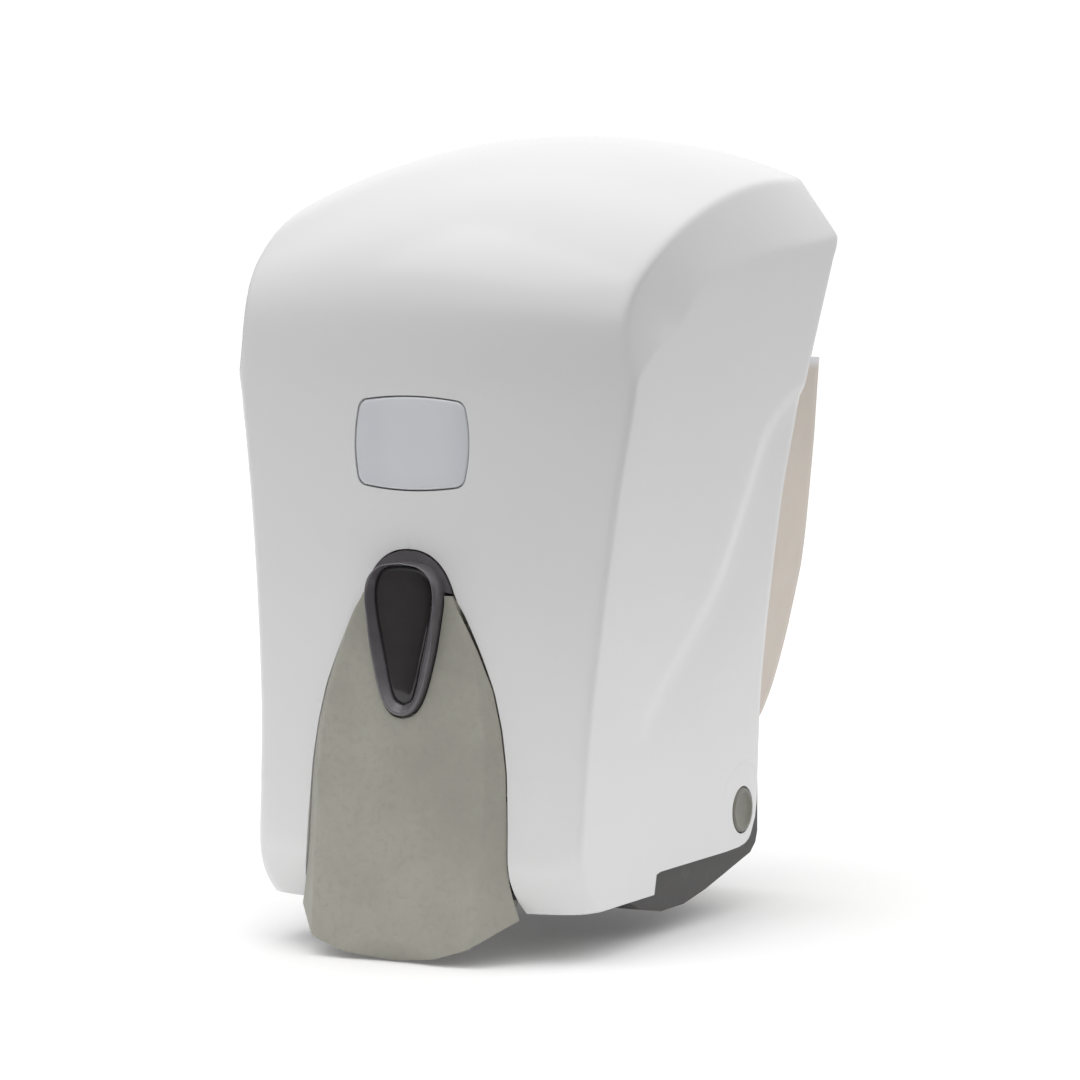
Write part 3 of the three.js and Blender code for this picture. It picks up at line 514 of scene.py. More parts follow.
# Numbers of the Mix node's factor, two colours and colour result.
MIX_COLOUR_INPUTS = (0, 6, 7)
MIX_COLOUR_OUTPUT = 2


class Recipe:
    """The nodes of one finish, or of the surround when the library is "worlds"."""

    def __init__(self, name, library="materials"):
        self.owner = getattr(bpy.data, library).new(name)
        self.owner.use_nodes = True
        self.tree = self.owner.node_tree
        self.tree.nodes.clear()

    def node(self, kind, settings=None, sockets=None, out=0):
        """Adds a node: its settings first, then the values or links of its sockets; gives an output."""
        made = self.tree.nodes.new(kind)
        for key, value in (settings or {}).items():
            setattr(made, key, value)
        for key, value in (sockets or {}).items():
            self.fed(made.inputs[key], value)
        return Signal(self, made.outputs[out]) if len(made.outputs) else made

    def fed(self, socket, value):
        """Links a signal to a socket, or sets its value."""
        if isinstance(value, Signal):
            self.tree.links.new(value.socket, socket)
        else:
            socket.default_value = value

    def place(self):
        return self.node("ShaderNodeTexCoord", out="Object")

    def parts(self, vector):
        split = self.tree.nodes.new("ShaderNodeSeparateXYZ")
        self.tree.links.new(vector.socket, split.inputs[0])
        return [Signal(self, s) for s in split.outputs]

    def noise(self, vector, scale, detail=2.0, rough=0.5):
        sockets = {"Vector": vector, "Scale": scale, "Detail": detail, "Roughness": rough}
        return self.node("ShaderNodeTexNoise", None, sockets)

    def mixed(self, factor, first, second):
        """A colour between two colours, each four numbers or a link."""
        made = self.tree.nodes.new("ShaderNodeMix")
        made.data_type = "RGBA"
        for number, value in zip(MIX_COLOUR_INPUTS, (factor, first, second)):
            self.fed(made.inputs[number], value)
        return Signal(self, made.outputs[MIX_COLOUR_OUTPUT])

    def bump(self, height, distance, strength=1.0):
        sockets = {"Height": height, "Distance": distance, "Strength": strength}
        return self.node("ShaderNodeBump", None, sockets)

    def surface(self, **sockets):
        named = {key.replace("_", " "): value for key, value in sockets.items()}
        shader = self.node("ShaderNodeBsdfPrincipled", None, named)
        self.node("ShaderNodeOutputMaterial", None, {"Surface": shader})
        return self.owner


def tone(red, green, blue):
    return (red, green, blue, 1.0)


def shade_of(colour, share):
    """A colour made lighter or darker by a share."""
    return tone(*(min(c * share, 1) for c in colour[:3]))


def glossy_white(colour, hinge):
    """Moulded white ABS: faint flow in the gloss, sparse dust and the witness line over the hinge."""
    mix = Recipe("glossy white")
    place = mix.place()
    flow = mix.noise(place, 22, 3, 0.55)
    fine = mix.noise(place, 900, 2)
    scuffs = mix.noise(place, 210, 6, 0.7).between(0.62, 0.8)
    cells = mix.node("ShaderNodeTexVoronoi", None, {"Vector": place, "Scale": 95})
    specks = 1 - cells.between(0.02, 0.035)
    sparse = mix.noise(place, 60, 1).between(0.6, 0.66)
    dust = specks * sparse
    x, y, z = mix.parts(place)
    away = ((y - hinge[1]) ** 2 + (z - hinge[2]) ** 2) ** 0.5
    arch = 1 - ((away - 0.0128) ** 2 * 1e6).between(0.006, 0.05)
    arch = arch * (z - hinge[2] - 0.002).between(0, 0.004) * (x ** 2).between(0.0018, 0.002)
    base = mix.mixed(flow.between(0.3, 0.7), shade_of(colour, 0.985), colour)
    base = mix.mixed(dust * 0.35, base, tone(0.33, 0.31, 0.29))
    rough = 0.17 + flow * 0.05 + scuffs * 0.07 + dust * 0.3
    height = flow * 0.6 + fine * 0.03 - arch * 0.5
    normal = mix.bump(height, 0.00022, 0.5)
    return mix.surface(Base_Color=base, Roughness=rough, Normal=normal, IOR=1.53)


def clear_window(colour):
    """The clear name window: bluish white behind a polished face, with a painted highlight that makes it
    brighter down the middle.
    """
    mix = Recipe("clear window")
    place = mix.place()
    x = mix.parts(place)[0]
    cloud = mix.noise(place, 60, 2)
    # Painted highlight: the colour is lightened in a broad band down the middle of the window and fades
    # towards its edges.
    middle = 1 - ((x - 0.002) ** 2 * 1e4).between(0.1, 1.9)
    base = mix.mixed(middle * 0.5 + cloud * 0.35, colour, tone(0.70, 0.71, 0.73))
    wave = mix.noise(place, 45, 1)
    return mix.surface(
        Base_Color=base, Roughness=0.05 + cloud * 0.05, Normal=mix.bump(wave, 0.0002, 0.3),
        Coat_Weight=0.6, Coat_Roughness=0.03,
    )


def smoked(name, colour, roughness, gloss):
    """Dark translucent plastic, cloudy in depth."""
    mix = Recipe(name)
    place = mix.place()
    depth = mix.noise(place, 70, 3)
    fine = mix.noise(place, 1400, 2)
    base = mix.mixed(depth.between(0.3, 0.7), colour, shade_of(colour, 1.5))
    rough = roughness + depth * 0.06
    return mix.surface(
        Base_Color=base, Roughness=rough, Normal=mix.bump(fine * 0.2 + depth, 0.00008, 0.4),
        Coat_Weight=gloss, Coat_Roughness=0.04, IOR=1.49,
    )


def mottled(name, colour, roughness, grain):
    """Matt moulded plastic: a spark-eroded grain, slow clouds of tone and rubbed patches."""
    mix = Recipe(name)
    place = mix.place()
    cloud = mix.noise(place, 38, 5, 0.62)
    fine = mix.noise(place, 520, 4, 0.6)
    pores = mix.noise(place, 2600, 2, 0.6)
    base = mix.mixed(cloud.between(0.3, 0.72), shade_of(colour, 0.9), shade_of(colour, 1.08))
    base = mix.mixed(fine.between(0.45, 0.75) * 0.45, base, shade_of(colour, 0.82))
    rubbed = mix.noise(place, 90, 4, 0.7).between(0.58, 0.75)
    rough = roughness + pores * 0.1 - rubbed * 0.08
    height = pores * 0.6 + fine * 0.5
    return mix.surface(Base_Color=base, Roughness=rough, Normal=mix.bump(height, grain, 0.6))


def natural_tank(colour):
    """Unpigmented blow-moulded plastic: warm and waxy, with a painted highlight that makes it lighter and
    cooler towards its rim.
    """
    mix = Recipe("natural tank")
    place = mix.place()
    z = mix.parts(place)[2]
    cloud = mix.noise(place, 26, 4, 0.6)
    speck = mix.noise(place, 700, 3)
    # Painted highlight: the top band of the tank, at its rim, is mixed towards a light cool white.
    rim = z.between(0.0405, 0.0435)
    base = mix.mixed(cloud.between(0.3, 0.75), shade_of(colour, 0.95), shade_of(colour, 1.04))
    base = mix.mixed(rim * 0.85, base, tone(0.80, 0.82, 0.86))
    height = cloud + speck * 0.12
    return mix.surface(
        Base_Color=base, Roughness=0.36 + speck * 0.12, Normal=mix.bump(height, 0.0004, 0.5),
        Subsurface_Weight=0.12, Subsurface_Scale=0.004,
    )


def soft_moulded(name, colour, roughness):
    """Plain moulded works: an even skin with a light grain."""
    mix = Recipe(name)
    place = mix.place()
    cloud = mix.noise(place, 75, 3)
    fine = mix.noise(place, 1500, 3)
    base = mix.mixed(cloud.between(0.3, 0.7), shade_of(colour, 0.93), colour)
    rough = roughness + fine * 0.12
    normal = mix.bump(fine + cloud * 0.5, 0.00006, 0.5)
    return mix.surface(Base_Color=base, Roughness=rough, Normal=normal)


def drawn_steel(colour):
    """Zinc-plated steel: fine drawn scratches over a slightly cloudy plating."""
    mix = Recipe("drawn steel")
    place = mix.place()
    stretched = mix.node("ShaderNodeMapping", None, {"Vector": place, "Scale": (9.0, 1.0, 9.0)})
    scratches = mix.noise(stretched, 900, 3, 0.6)
    cloud = mix.noise(place, 120, 3)
    base = mix.mixed(cloud.between(0.3, 0.7), shade_of(colour, 0.88), colour)
    rough = 0.22 + scratches * 0.18 + cloud * 0.06
    normal = mix.bump(scratches, 0.00003, 0.5)
    return mix.surface(Base_Color=base, Metallic=1.0, Roughness=rough, Normal=normal)


# ------------------------------------------------------------------ the cover


half_width_at = blurred(COVER_HALF_WIDTH, 6)
band_start_at = blurred(BAND_START, 0.35)
band_slope_at = blurred(BAND_SLOPE, 0.35)
softness_at = blurred(CREASE_SOFTNESS, 0.3)
hollow_edge_at = blurred(HOLLOW_EDGE, 2.0)
flank_reach_at = blurred(FLANK_REACH, 0.2)
opening_at = blurred(OPENING[:-4], 1.2)
SMOOTHED_POINTS = 900


def cover_line():
    """Samples of the cover's centre line: their point numbers, and the line with its bends evened out."""
    last = len(COVER_PROFILE) - 1
    at = np.linspace(0, last, SMOOTHED_POINTS)
    line = through(COVER_PROFILE, at)
    span = 45
    first, final = 2 * line[0] - line[span:0:-1], 2 * line[-1] - line[-2 : -span - 2 : -1]
    return at, convolved(np.concatenate([first, line, final]), bell(span, span / 3))


LINE_AT, LINE = cover_line()


def line_point(at):
    return np.array([np.interp(at, LINE_AT, LINE[:, k]) for k in range(2)])


def point_number_at_height(z):
    """Where down the front the centre line is at height z."""
    front = LINE_AT > 7
    return np.interp(-np.asarray(z, float), -LINE[front, 1], LINE_AT[front])


def front_y(x, z):
    """Depth of the cover's front surface at x and height z, where it is nearly upright."""
    at = point_number_at_height(z)
    crown = CROWN_REAR + at / (len(COVER_PROFILE) - 1) * (CROWN_FRONT - CROWN_REAR)
    return np.interp(at, LINE_AT, LINE[:, 0]) + crown * np.asarray(x) ** 2


def fall_angle(at):
    """Turn, from straight down, of the direction in which a section falls away from the centre line."""
    step = 0.25
    ahead = line_point(min(at + step, LINE_AT[-1])) - line_point(max(at - step, 0))
    true = math.atan2(-ahead[1], -ahead[0])
    rear_share = 1 - smoothstep(0.0, 1.6, at)
    front_share = smoothstep(7.6, 9.8, at)
    return true * (1 - rear_share) * (1 - front_share) + math.pi / 2 * front_share


fall_angle_at = blurred([(at, float(fall_angle(at))) for at in np.linspace(0, 18, 200)], 1.2)


def inward_at(at):
    """Unit direction [y, z] in which the section at a point number falls away from the centre line."""
    angle = float(fall_angle_at(at)) * smoothstep(0, 0.8, at)
    return np.array([math.sin(angle), -math.cos(angle)])


def side_x(y, z):
    """Half width of the cover at a depth and height, with the shallow hollow pressed into the side."""
    flat = half_width_at(z) * (1 + (y - COVER_REAR_Y) * COVER_DRAFT)
    behind = y - hollow_edge_at(z)
    inside = smoothstep(-1.5, 4.5, behind) * (1 - 0.75 * smoothstep(6, 42, behind))
    ends = smoothstep(-58, -38, z) * (1 - smoothstep(33, 41, z))
    return flat - 1.0 * inside * ends


def cover_section(at, reach):
    """The section at a point number, from the centre and down the side, as rows of x and drop."""
    start, inward = line_point(at), inward_at(at)
    crown = CROWN_REAR + at / (len(COVER_PROFILE) - 1) * (CROWN_FRONT - CROWN_REAR)
    edge = float(band_start_at(at)) if at < BAND_END else 80.0
    slope = float(band_slope_at(at))

    def side(drop):
        spot = start + inward * drop
        return side_x(spot[0], spot[1])

    x = np.linspace(0, min(edge, 75), 160)
    rows = [(a, crown * a * a) for a in x]
    if at < BAND_END:
        falls = np.linspace(0, 40, 120)[1:]
        rows += [(edge + f / slope, crown * edge * edge + f) for f in falls]
    kept = []
    for a, drop in rows:
        if a >= side(drop):
            break
        kept.append((a, drop))
    meets = kept[-1][1]
    kept += [(side(d), d) for d in np.linspace(meets, meets + reach, 24)[1:]]
    return start, inward, np.array(kept, float)


def cover_rows():
    """Point numbers of the cover's rows, close together round the arch's top and in the lower roll."""
    last = float(point_number_at_height(COVER_LIP_Z))
    arch = OPENING_TOP_Z - 11 * np.linspace(0, 1, 19) ** 2
    shin = np.linspace(-12.1, -83, 28)[1:]
    roll = np.linspace(-83, COVER_LIP_Z, 17)[1:]
    heights = point_number_at_height(np.concatenate([arch, shin, roll]))
    above = np.linspace(0, heights[0], 82)[:-1]
    return np.concatenate([above, heights[:-1], [last]])


def opening_half(z):
    """Half width of the lever opening at height z: 0 above its arch."""
    depth = max(OPENING_TOP_Z - z, 0)
    arch = ARCH_RISE * math.sqrt(depth) - ARCH_PINCH * depth
    share = smoothstep(10.7, 15.7, depth)
    return float(arch * (1 - share) + opening_at(z) * share)


def cover_half(columns, side_columns):
    """The cover's right half: its sections, then straight lines across the side to its edges."""
    numbers = cover_rows()
    ends = np.array(SIDE_ENDS, float)
    grid = []
    for at in numbers:
        reach = float(flank_reach_at(at))
        start, inward, section = cover_section(at, reach + 5)
        soft = softened_line(section, float(softness_at(at)))
        soft = soft[soft[:, 1] <= section[-1, 1] - 5]
        z = start[1]
        begins = opening_half(z) if at > 9 else 0.0
        run = run_along(soft)
        rise = np.maximum.accumulate(soft[:, 0])
        climb = slice(rise.argmax() + 1)
        first = np.interp(begins, rise[climb], run[climb]) if begins > 0 else 0.0
        across = resampled(soft, columns, first)
        if begins == 0:
            across[0, 0] = 0.0
        spots = start + across[:, 1:2] * inward
        row = np.column_stack([across[:, 0], spots])
        if at <= 0:
            row[:, 1] = COVER_REAR_Y
        end = np.array([np.interp(at, ends[:, 0], ends[:, k]) for k in (1, 2)])
        shares = np.linspace(0, 1, side_columns + 1)[1:, None]
        flank = row[-1, 1:] * (1 - shares) + end * shares
        tail = np.array([(side_x(y, z2), y, z2) for y, z2 in flank])
        grid.append(np.concatenate([row, tail]))
    return np.array(grid)


def badge_outline(margin, count=112):
    """The name window's bulged, round-cornered outline, [x, z], that much larger than the window."""
    size = Vector((14.9 + margin, 10.6 + margin))
    corner, bulge = 1.7, (1.5, 1.3)
    points = []
    for turn in range(4):
        for a in np.linspace(0, math.pi / 2, 12):
            angle = math.pi / 2 * turn + a
            cx = (size.x - corner) * (1 if turn in (0, 3) else -1)
            cz = (size.y - corner) * (1 if turn in (0, 1) else -1)
            points.append((cx + corner * math.cos(angle), cz + corner * math.sin(angle)))
    ring = np.array(points + points[:1])
    dense = resampled(ring, 600)
    dense[:, 0] *= 1 + bulge[0] / size.x * (1 - np.clip(np.abs(dense[:, 1]) / size.y, 0, 1) ** 2)
    dense[:, 1] *= 1 + bulge[1] / size.y * (1 - np.clip(np.abs(dense[:, 0]) / size.x, 0, 1) ** 2)
    return resampled(dense, count + 1)[:-1][::-1] + [0, WINDOW_Z]


def cut(piece, meshes):
    """Takes the meshes out of a piece."""
    tool = placed("tool", joined("tool", meshes))
    carve = piece.modifiers.new("Openings", "BOOLEAN")
    carve.operation = "DIFFERENCE"
    carve.solver = "EXACT"
    carve.object = tool
    settled(piece)
    bpy.data.objects.remove(tool)


def rod_mesh(radius, length, place, segments=64):
    profile = [(0, 0), (radius, 0), (radius, length), (0, length)]
    return turned_piece("rod", profile, segments, place)


class CoverSettings(bpy.types.PropertyGroup):
    """The cover's sizes and colour."""

    wall: length_input("Wall", 0.0024, "Wall thickness of the cover")
    edge: length_input("Edge radius", 0.0006, "Rounding of the cover's cut edges")
    colour: colour_input("Colour", (0.74, 0.74, 0.74), "Colour of the moulded cover")
    window: colour_input("Window colour", (0.62, 0.63, 0.67), "Colour seen through the name window")


class DISPENSER_OT_cover(bpy.types.Operator):
    """Builds the hinged cover with its creased shoulders, rolled lip, arch, hinge holes and inner lugs"""

    bl_idname = "dispenser.cover"
    bl_label = "Cover"

    def execute(self, context):
        settings = context.scene.dispenser_cover
        wall, edge = settings.wall / MM, settings.edge / MM
        shell = placed("cover_skin", both_halves("cover_skin", cover_half(82, 32)))
        walled(shell, wall, edge)
        settled(shell)
        pin = pin_centre()
        window = badge_outline(0.35)
        floor_y = front_y(0, WINDOW_Z) + WINDOW_DEPTH
        pocket = capped_loft("pocket", [facing(window, y) for y in (POCKET_FRONT_Y, floor_y)])
        tools = [pocket, block(*KEY_NOTCH, 0.1)]
        extras = [block(*LATCH_BAR, 0.3), *block_pair(*AXLE_LUG, 0.4)]
        for hole_x, ring_x in zip(HINGE_HOLE_STARTS, HINGE_RING_STARTS):
            tools.append(rod_mesh(HINGE_HOLE_RADIUS, HINGE_HOLE_LENGTH, along_x(hole_x, pin.y, pin.z)))
            extras.append(turned_piece("ring", HINGE_RING, 48, along_x(ring_x, pin.y, pin.z)))
        cut(shell, tools)
        grown_by(shell, extras)
        shaded(shell.data, 38)
        white = glossy_white(tone(*settings.colour), (0, pin.y * MM, pin.z * MM))
        finished(shell, "cover", white, ["cover_shell"])
        return {"FINISHED"}


def pin_centre():
    """The hinge line, in mm, from the left pin's place in the packed part."""
    low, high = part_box("hinge_pin_left")
    return (low + high) / 2 / MM


class DISPENSER_OT_badge(bpy.types.Operator):
    """Builds the clear name window set flush in its pocket"""

    bl_idname = "dispenser.badge"
    bl_label = "Name window"

    def execute(self, context):
        rim, middle = badge_outline(0), WINDOW_Z
        loops = []
        for share, rise in WINDOW_RISE:
            flat = (rim - [0, middle]) * (1 - share) + [0, middle]
            loops.append(facing(flat, front_y(flat[:, 0], flat[:, 1]) + rise))
        badge = placed("name_window", capped_loft("name_window", loops))
        shaded(badge.data, 50)
        window = clear_window(tone(*context.scene.dispenser_cover.window))
        finished(badge, "cover", window, ["name_badge"])
        return {"FINISHED"}


# ------------------------------------------------------------------ sight glass and lever


class GlassSettings(bpy.types.PropertyGroup):
    """The sight glass's sizes and colours."""

    chamfer: length_input("Chamfer", 0.0018, "How far the frame falls from its outer edge to the lens")
    frame_colour: colour_input("Frame colour", (0.085, 0.078, 0.085), "Colour of the smoked frame")
    lens_colour: colour_input("Lens colour", (0.017, 0.015, 0.015), "Colour of the smoked lens")


class DISPENSER_OT_sight_glass(bpy.types.Operator):
    """Builds the sight glass: its chamfered frame, the flange that fills the arch, and the domed lens"""

    bl_idname = "dispenser.sight_glass"
    bl_label = "Sight glass"

    def execute(self, context):
        settings = context.scene.dispenser_glass
        fall = settings.chamfer / MM
        outer, inner = closed_outline(BEZEL, 144), closed_outline(LENS, 144)
        section = [
            (0.0, 9.6), (0.0, 1.0), (0.03, 0.45), (0.14, 0.1), (0.27, 0.0), (0.38, 0.12), (0.45, 0.4),
            (0.86, fall), (0.96, fall + 0.35), (1.0, fall + 0.8), (1.0, 9.6),
        ]
        loops = [facing(outer * (1 - s) + inner * s, GLASS_FRONT_Y + depth) for s, depth in section]
        ring = ring_loft("frame", loops)
        flange = self.flange(outer * 0.4 + inner * 0.6)
        bezel = placed("sight_glass_frame", joined("sight_glass_frame", [ring, flange]))
        shaded(bezel.data, 40)
        colour = tone(*settings.frame_colour)
        smoke = smoked("smoked frame", colour, 0.2, 0.3)
        finished(bezel, "cover", smoke, ["sight_glass_bezel"])
        lens = placed("sight_glass_window", self.lens(inner))
        shaded(lens.data, 40)
        glass = smoked("smoked lens", tone(*settings.lens_colour), 0.04, 0.1)
        finished(lens, "cover", glass, ["sight_glass_lens"])
        return {"FINISHED"}

    @staticmethod
    def flange(inner):
        """A plate under the frame, filling the arch of the cover down to the lever's top."""
        heights = OPENING_TOP_Z - 0.45 - 10.55 * np.linspace(0, 1, 26) ** 2
        half = np.array([(max(opening_half(z + 0.35) - GAP, 0), z) for z in heights])
        half[0, 0] = 0
        top = inner[inner[:, 1] > -12.05]
        right = top[top[:, 0] >= 0]
        right = right[np.argsort(-right[:, 1])]
        count = 26
        along = resampled(right, count)
        along[0, 0] = 0
        loops = []
        rear_y = FLANGE_Y + FLANGE_THICKNESS
        for outline, y in ((half, rear_y), (half, FLANGE_Y), (along, FLANGE_Y), (along, rear_y)):
            mirror = outline[:0:-1] * [-1, 1]
            loops.append(facing(np.concatenate([mirror, outline]), y))
        loops.append(loops[0])
        rows = np.array(loops)
        faces = grid_faces(*rows.shape[:2])
        columns = rows.shape[1]
        first, last = [r * columns for r in range(4)], [r * columns - 1 for r in (4, 3, 2, 1)]
        faces += [tuple(first), tuple(last)]
        mesh = new_mesh("flange", rows.reshape(-1, 3), faces)
        merged(mesh)
        outward(mesh)
        return mesh

    @staticmethod
    def lens(inner):
        rim = shrunk(inner, 0.05)
        spine = np.stack([np.zeros(len(rim)), np.clip(rim[:, 1], -33, -13)], 1)
        loops = [facing(rim, GLASS_FRONT_Y + 9.7)]
        for share in (0.0, 0.03, 0.08, 0.2, 0.4, 0.6, 0.8, 0.95):
            flat = rim * (1 - share) + spine * share
            dome = 2.15 - 0.55 * (1 - (1 - share) ** 2) - 0.25 * min(share / 0.08, 1)
            loops.append(facing(flat, GLASS_FRONT_Y + dome))
        return capped_loft("sight_glass_window", loops)


class LeverSettings(bpy.types.PropertyGroup):
    """The lever's sizes and colour."""

    wall: length_input("Wall", 0.003, "Wall thickness of the lever")
    crease: length_input("Crease radius", 0.00028, "Rounding where the lever's flat meets its bevels")
    bevel_slope: number_input("Bevel slope", 1.15, "How steeply the lever's bevels fall away")
    colour: colour_input("Colour", (0.33, 0.32, 0.276), "Colour of the lever")


lever_facet_at = blurred(LEVER_FACET, 3)
lever_foot_at = blurred(LEVER_FOOT, 1.8)
bezel_curve = through(BEZEL, np.linspace(0, len(BEZEL) - 1, 200))


def lever_depth(x, z, crease, slope):
    """Depth of the lever's surface at x and height z."""
    line = through(LEVER_PROFILE, np.linspace(0, len(LEVER_PROFILE) - 1, 200))
    middle = np.interp(-z, -line[:, 1], line[:, 0])
    facet = float(lever_facet_at(z))
    flat = 0.5 * (x / facet) ** 2
    bevel = 0.5 + slope * (x - facet)
    soft = crease
    top = max(flat, bevel)
    over = math.exp((flat - top) / soft) + math.exp((bevel - top) / soft)
    drop = top + soft * math.log(over) - soft * 0.02
    arc = SCALLOP["top"] - SCALLOP["bend"] * x * x
    below = arc - z
    if below > 0:
        drop += SCALLOP["slope"] * (math.sqrt(below * below + 0.35) - 0.59)
    return middle + drop


def notch_half(z):
    """Half width of the notch for the sight glass at height z."""
    below = bezel_curve[60:]
    if z < below[-1, 1] - GAP * 1.6:
        return 0.0
    return float(np.interp(-z, -(below[:, 1] - GAP * 1.4), below[:, 0] + GAP * 1.2 * (below[:, 0] > 0)))


class DISPENSER_OT_lever(bpy.types.Operator):
    """Builds the push lever: its flat, creased bevels, thumb scallop, notch, lugs and inner rib"""

    bl_idname = "dispenser.lever"
    bl_label = "Push lever"

    def execute(self, context):
        settings = context.scene.dispenser_lever
        crease, slope = settings.crease / MM, settings.bevel_slope
        tip = BEZEL[-1][1] - GAP * 1.6
        above = np.linspace(LEVER_TOP_Z, tip + 6, 22)
        point = tip + 6 * (1 - np.linspace(0, 1, 12)[1:]) ** 2
        below = np.linspace(tip, -88, 30)[1:]
        foot = np.linspace(0, 1, 22)[1:]
        grid = []
        for z in np.concatenate([above, point, below]):
            inner = notch_half(z) if z > tip + 1e-6 else 0.0
            outer = opening_half(z) - GAP
            grid.append(self.row([(x, z) for x in self.spaced(inner, outer, z)], crease, slope))
        for share in foot:
            outer = opening_half(-88) - GAP + (LEVER_FOOT[-1][0] - opening_half(-88) + GAP) * share
            spots = []
            for x in self.spaced(0.0, outer, -88 - 12 * share):
                low = float(lever_foot_at(min(x, LEVER_FOOT[-1][0])))
                spots.append((x, -88 + (low + 88) * share))
            grid.append(self.row(spots, crease, slope))
        lever = placed("lever_face", both_halves("lever_face", np.array(grid)))
        walled(lever, settings.wall / MM, 0.55)
        settled(lever)
        boss = turned_piece("boss", LEVER_BOSS, 48, along_y(0, -136.2, -82))
        grown_by(lever, [*block_pair(*LEVER_LUG, 0.35), block(*LEVER_RIB, 0.3), boss])
        shaded(lever.data, 40)
        grey = mottled("lever grey", tone(*settings.colour), 0.5, 0.00007)
        finished(lever, "lever", grey, ["push_lever"])
        return {"FINISHED"}

    @staticmethod
    def spaced(inner, outer, z, flat_count=30, bevel_count=12):
        """Columns of a row, with a column kept on the crease."""
        crease = min(max(float(lever_facet_at(z)), inner + 0.4), outer - 0.4)
        flat = inner + (crease - inner) * (1 - (1 - np.linspace(0, 1, flat_count)) ** 1.25)
        bevel = crease + (outer - crease) * np.linspace(0, 1, bevel_count)[1:] ** 1.15
        return np.concatenate([flat, bevel])

    @staticmethod
    def row(spots, crease, slope):
        return [(x, lever_depth(x, z, crease, slope), z) for x, z in spots]


# ------------------------------------------------------------------ tank, base and works


class BodySettings(bpy.types.PropertyGroup):
    """Sizes and colours of the tank, the base and the fittings."""

    tank_wall: length_input("Tank wall", 0.0026, "Wall thickness of the tank")
    tank_corner: length_input("Tank corner", 0.003, "Radius of the tank's upright corners")
    edge: length_input("Edge radius", 0.0007, "Rounding of the base's edges")
    tank_colour: colour_input("Tank colour", (0.66, 0.59, 0.52), "Colour of the unpigmented tank")
    base_colour: colour_input(
        "Base colour", (0.030, 0.027, 0.026), "Colour of the base, wall plate and latch")
    cap_colour: colour_input("Hinge cap colour", (0.20, 0.195, 0.165), "Colour of the hinge caps")
    steel_colour: colour_input("Steel colour", (0.62, 0.63, 0.65), "Colour of the screws and springs")


class DISPENSER_OT_hinge_caps(bpy.types.Operator):
    """Builds the two hinge pins with their dished, rimmed caps"""

    bl_idname = "dispenser.hinge_caps"
    bl_label = "Hinge caps"

    def execute(self, context):
        colour = tone(*context.scene.dispenser_body.cap_colour)
        grey = mottled("hinge cap grey", colour, 0.42, 0.00004)
        pin = pin_centre()
        for side, name in ((-1, "left"), (1, "right")):
            place = along_x(HINGE_PIN_X, pin.y, pin.z)
            mesh = turned_piece(f"hinge_cap_{name}", HINGE_CAP, 72, place)
            if side < 0:
                mesh.transform(Matrix.Diagonal((-1, 1, 1, 1)))
                outward(mesh)
            cap = placed(f"hinge_cap_{name}", mesh)
            shaded(mesh, 40)
            finished(cap, "base", grey, [f"hinge_pin_{name}"])
        return {"FINISHED"}


tank_half_at = blurred(TANK_HALF_WIDTH, 1.5)


class DISPENSER_OT_tank(bpy.types.Operator):
    """Builds the open-topped tank with rounded corners, a full-round rim and an outlet boss"""

    bl_idname = "dispenser.tank"
    bl_label = "Tank"

    def execute(self, context):
        settings = context.scene.dispenser_body
        wall, corner = settings.tank_wall / MM, settings.tank_corner / MM
        low, high = (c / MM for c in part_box("tank"))
        rear, front = high.y, low.y
        foot = TANK_FOOT_Z + (TANK_BOTTOM_Z - TANK_FOOT_Z) * np.sin(np.linspace(0, math.pi / 2, 24))[1:]
        heights = np.concatenate([np.linspace(high.z, TANK_FOOT_Z, 40), foot])
        loops = [self.ring(z, rear, front, corner) for z in heights]
        last = loops[-1]
        centre = last.mean(axis=0)
        for share in (0.35, 0.7, 0.93):
            loops.append(last * (1 - share) + centre * share)
        rows = np.array(loops)
        faces = grid_faces(*rows.shape[:2], closed=True)
        bottom = (len(loops) - 1) * rows.shape[1]
        faces.append(tuple(range(bottom + rows.shape[1] - 1, bottom - 1, -1)))
        mesh = new_mesh("tank_wall", rows.reshape(-1, 3), faces)
        merged(mesh)
        outward_open(mesh, Vector((0, (rear + front) / 2, 0)) * MM)
        tank = placed("tank_wall", mesh)
        walled(tank, wall, wall * 0.46, 5)
        settled(tank)
        outlet = TANK_OUTLET
        boss, hole = (
            Matrix.Translation(Vector((0, outlet["y"], outlet[end])) * MM) for end in ("boss_z", "hole_z")
        )
        cut(tank, [rod_mesh(outlet["radius"], outlet["hole_length"], hole)])
        grown_by(tank, [turned_piece("boss", TANK_BOSS, 48, boss)])
        shaded(tank.data, 45)
        natural = natural_tank(tone(*settings.tank_colour))
        finished(tank, "base", natural, ["tank"])
        return {"FINISHED"}

    @staticmethod
    def ring(z, rear, front, corner):
        """The tank's outline from above at height z, with its corners rounded."""
        points = []
        for turn, (sx, y) in enumerate(((1, rear), (-1, rear), (-1, front), (1, front))):
            half = float(tank_half_at(z)) * (1 + (y - rear) * TANK_DRAFT)
            r = min(corner, half * 0.6)
            cx, cy = sx * (half - r), y - r if y == rear else y + r
            for a in np.linspace(0, math.pi / 2, 9):
                angle = math.pi / 2 * turn + a
                points.append((cx + r * math.cos(angle), cy + r * math.sin(angle), z))
        ring = resampled(np.array(points + points[:1]), 145)[:-1]
        return ring


def outward_open(mesh, middle):
    """Turns an open shell so that its faces point away from its middle."""
    outward(mesh)
    face = max(mesh.polygons, key=lambda f: abs(f.center.x) * (abs(f.normal.x) > 0.9))
    if face.normal.dot(face.center - middle) < 0:
        mesh.flip_normals()


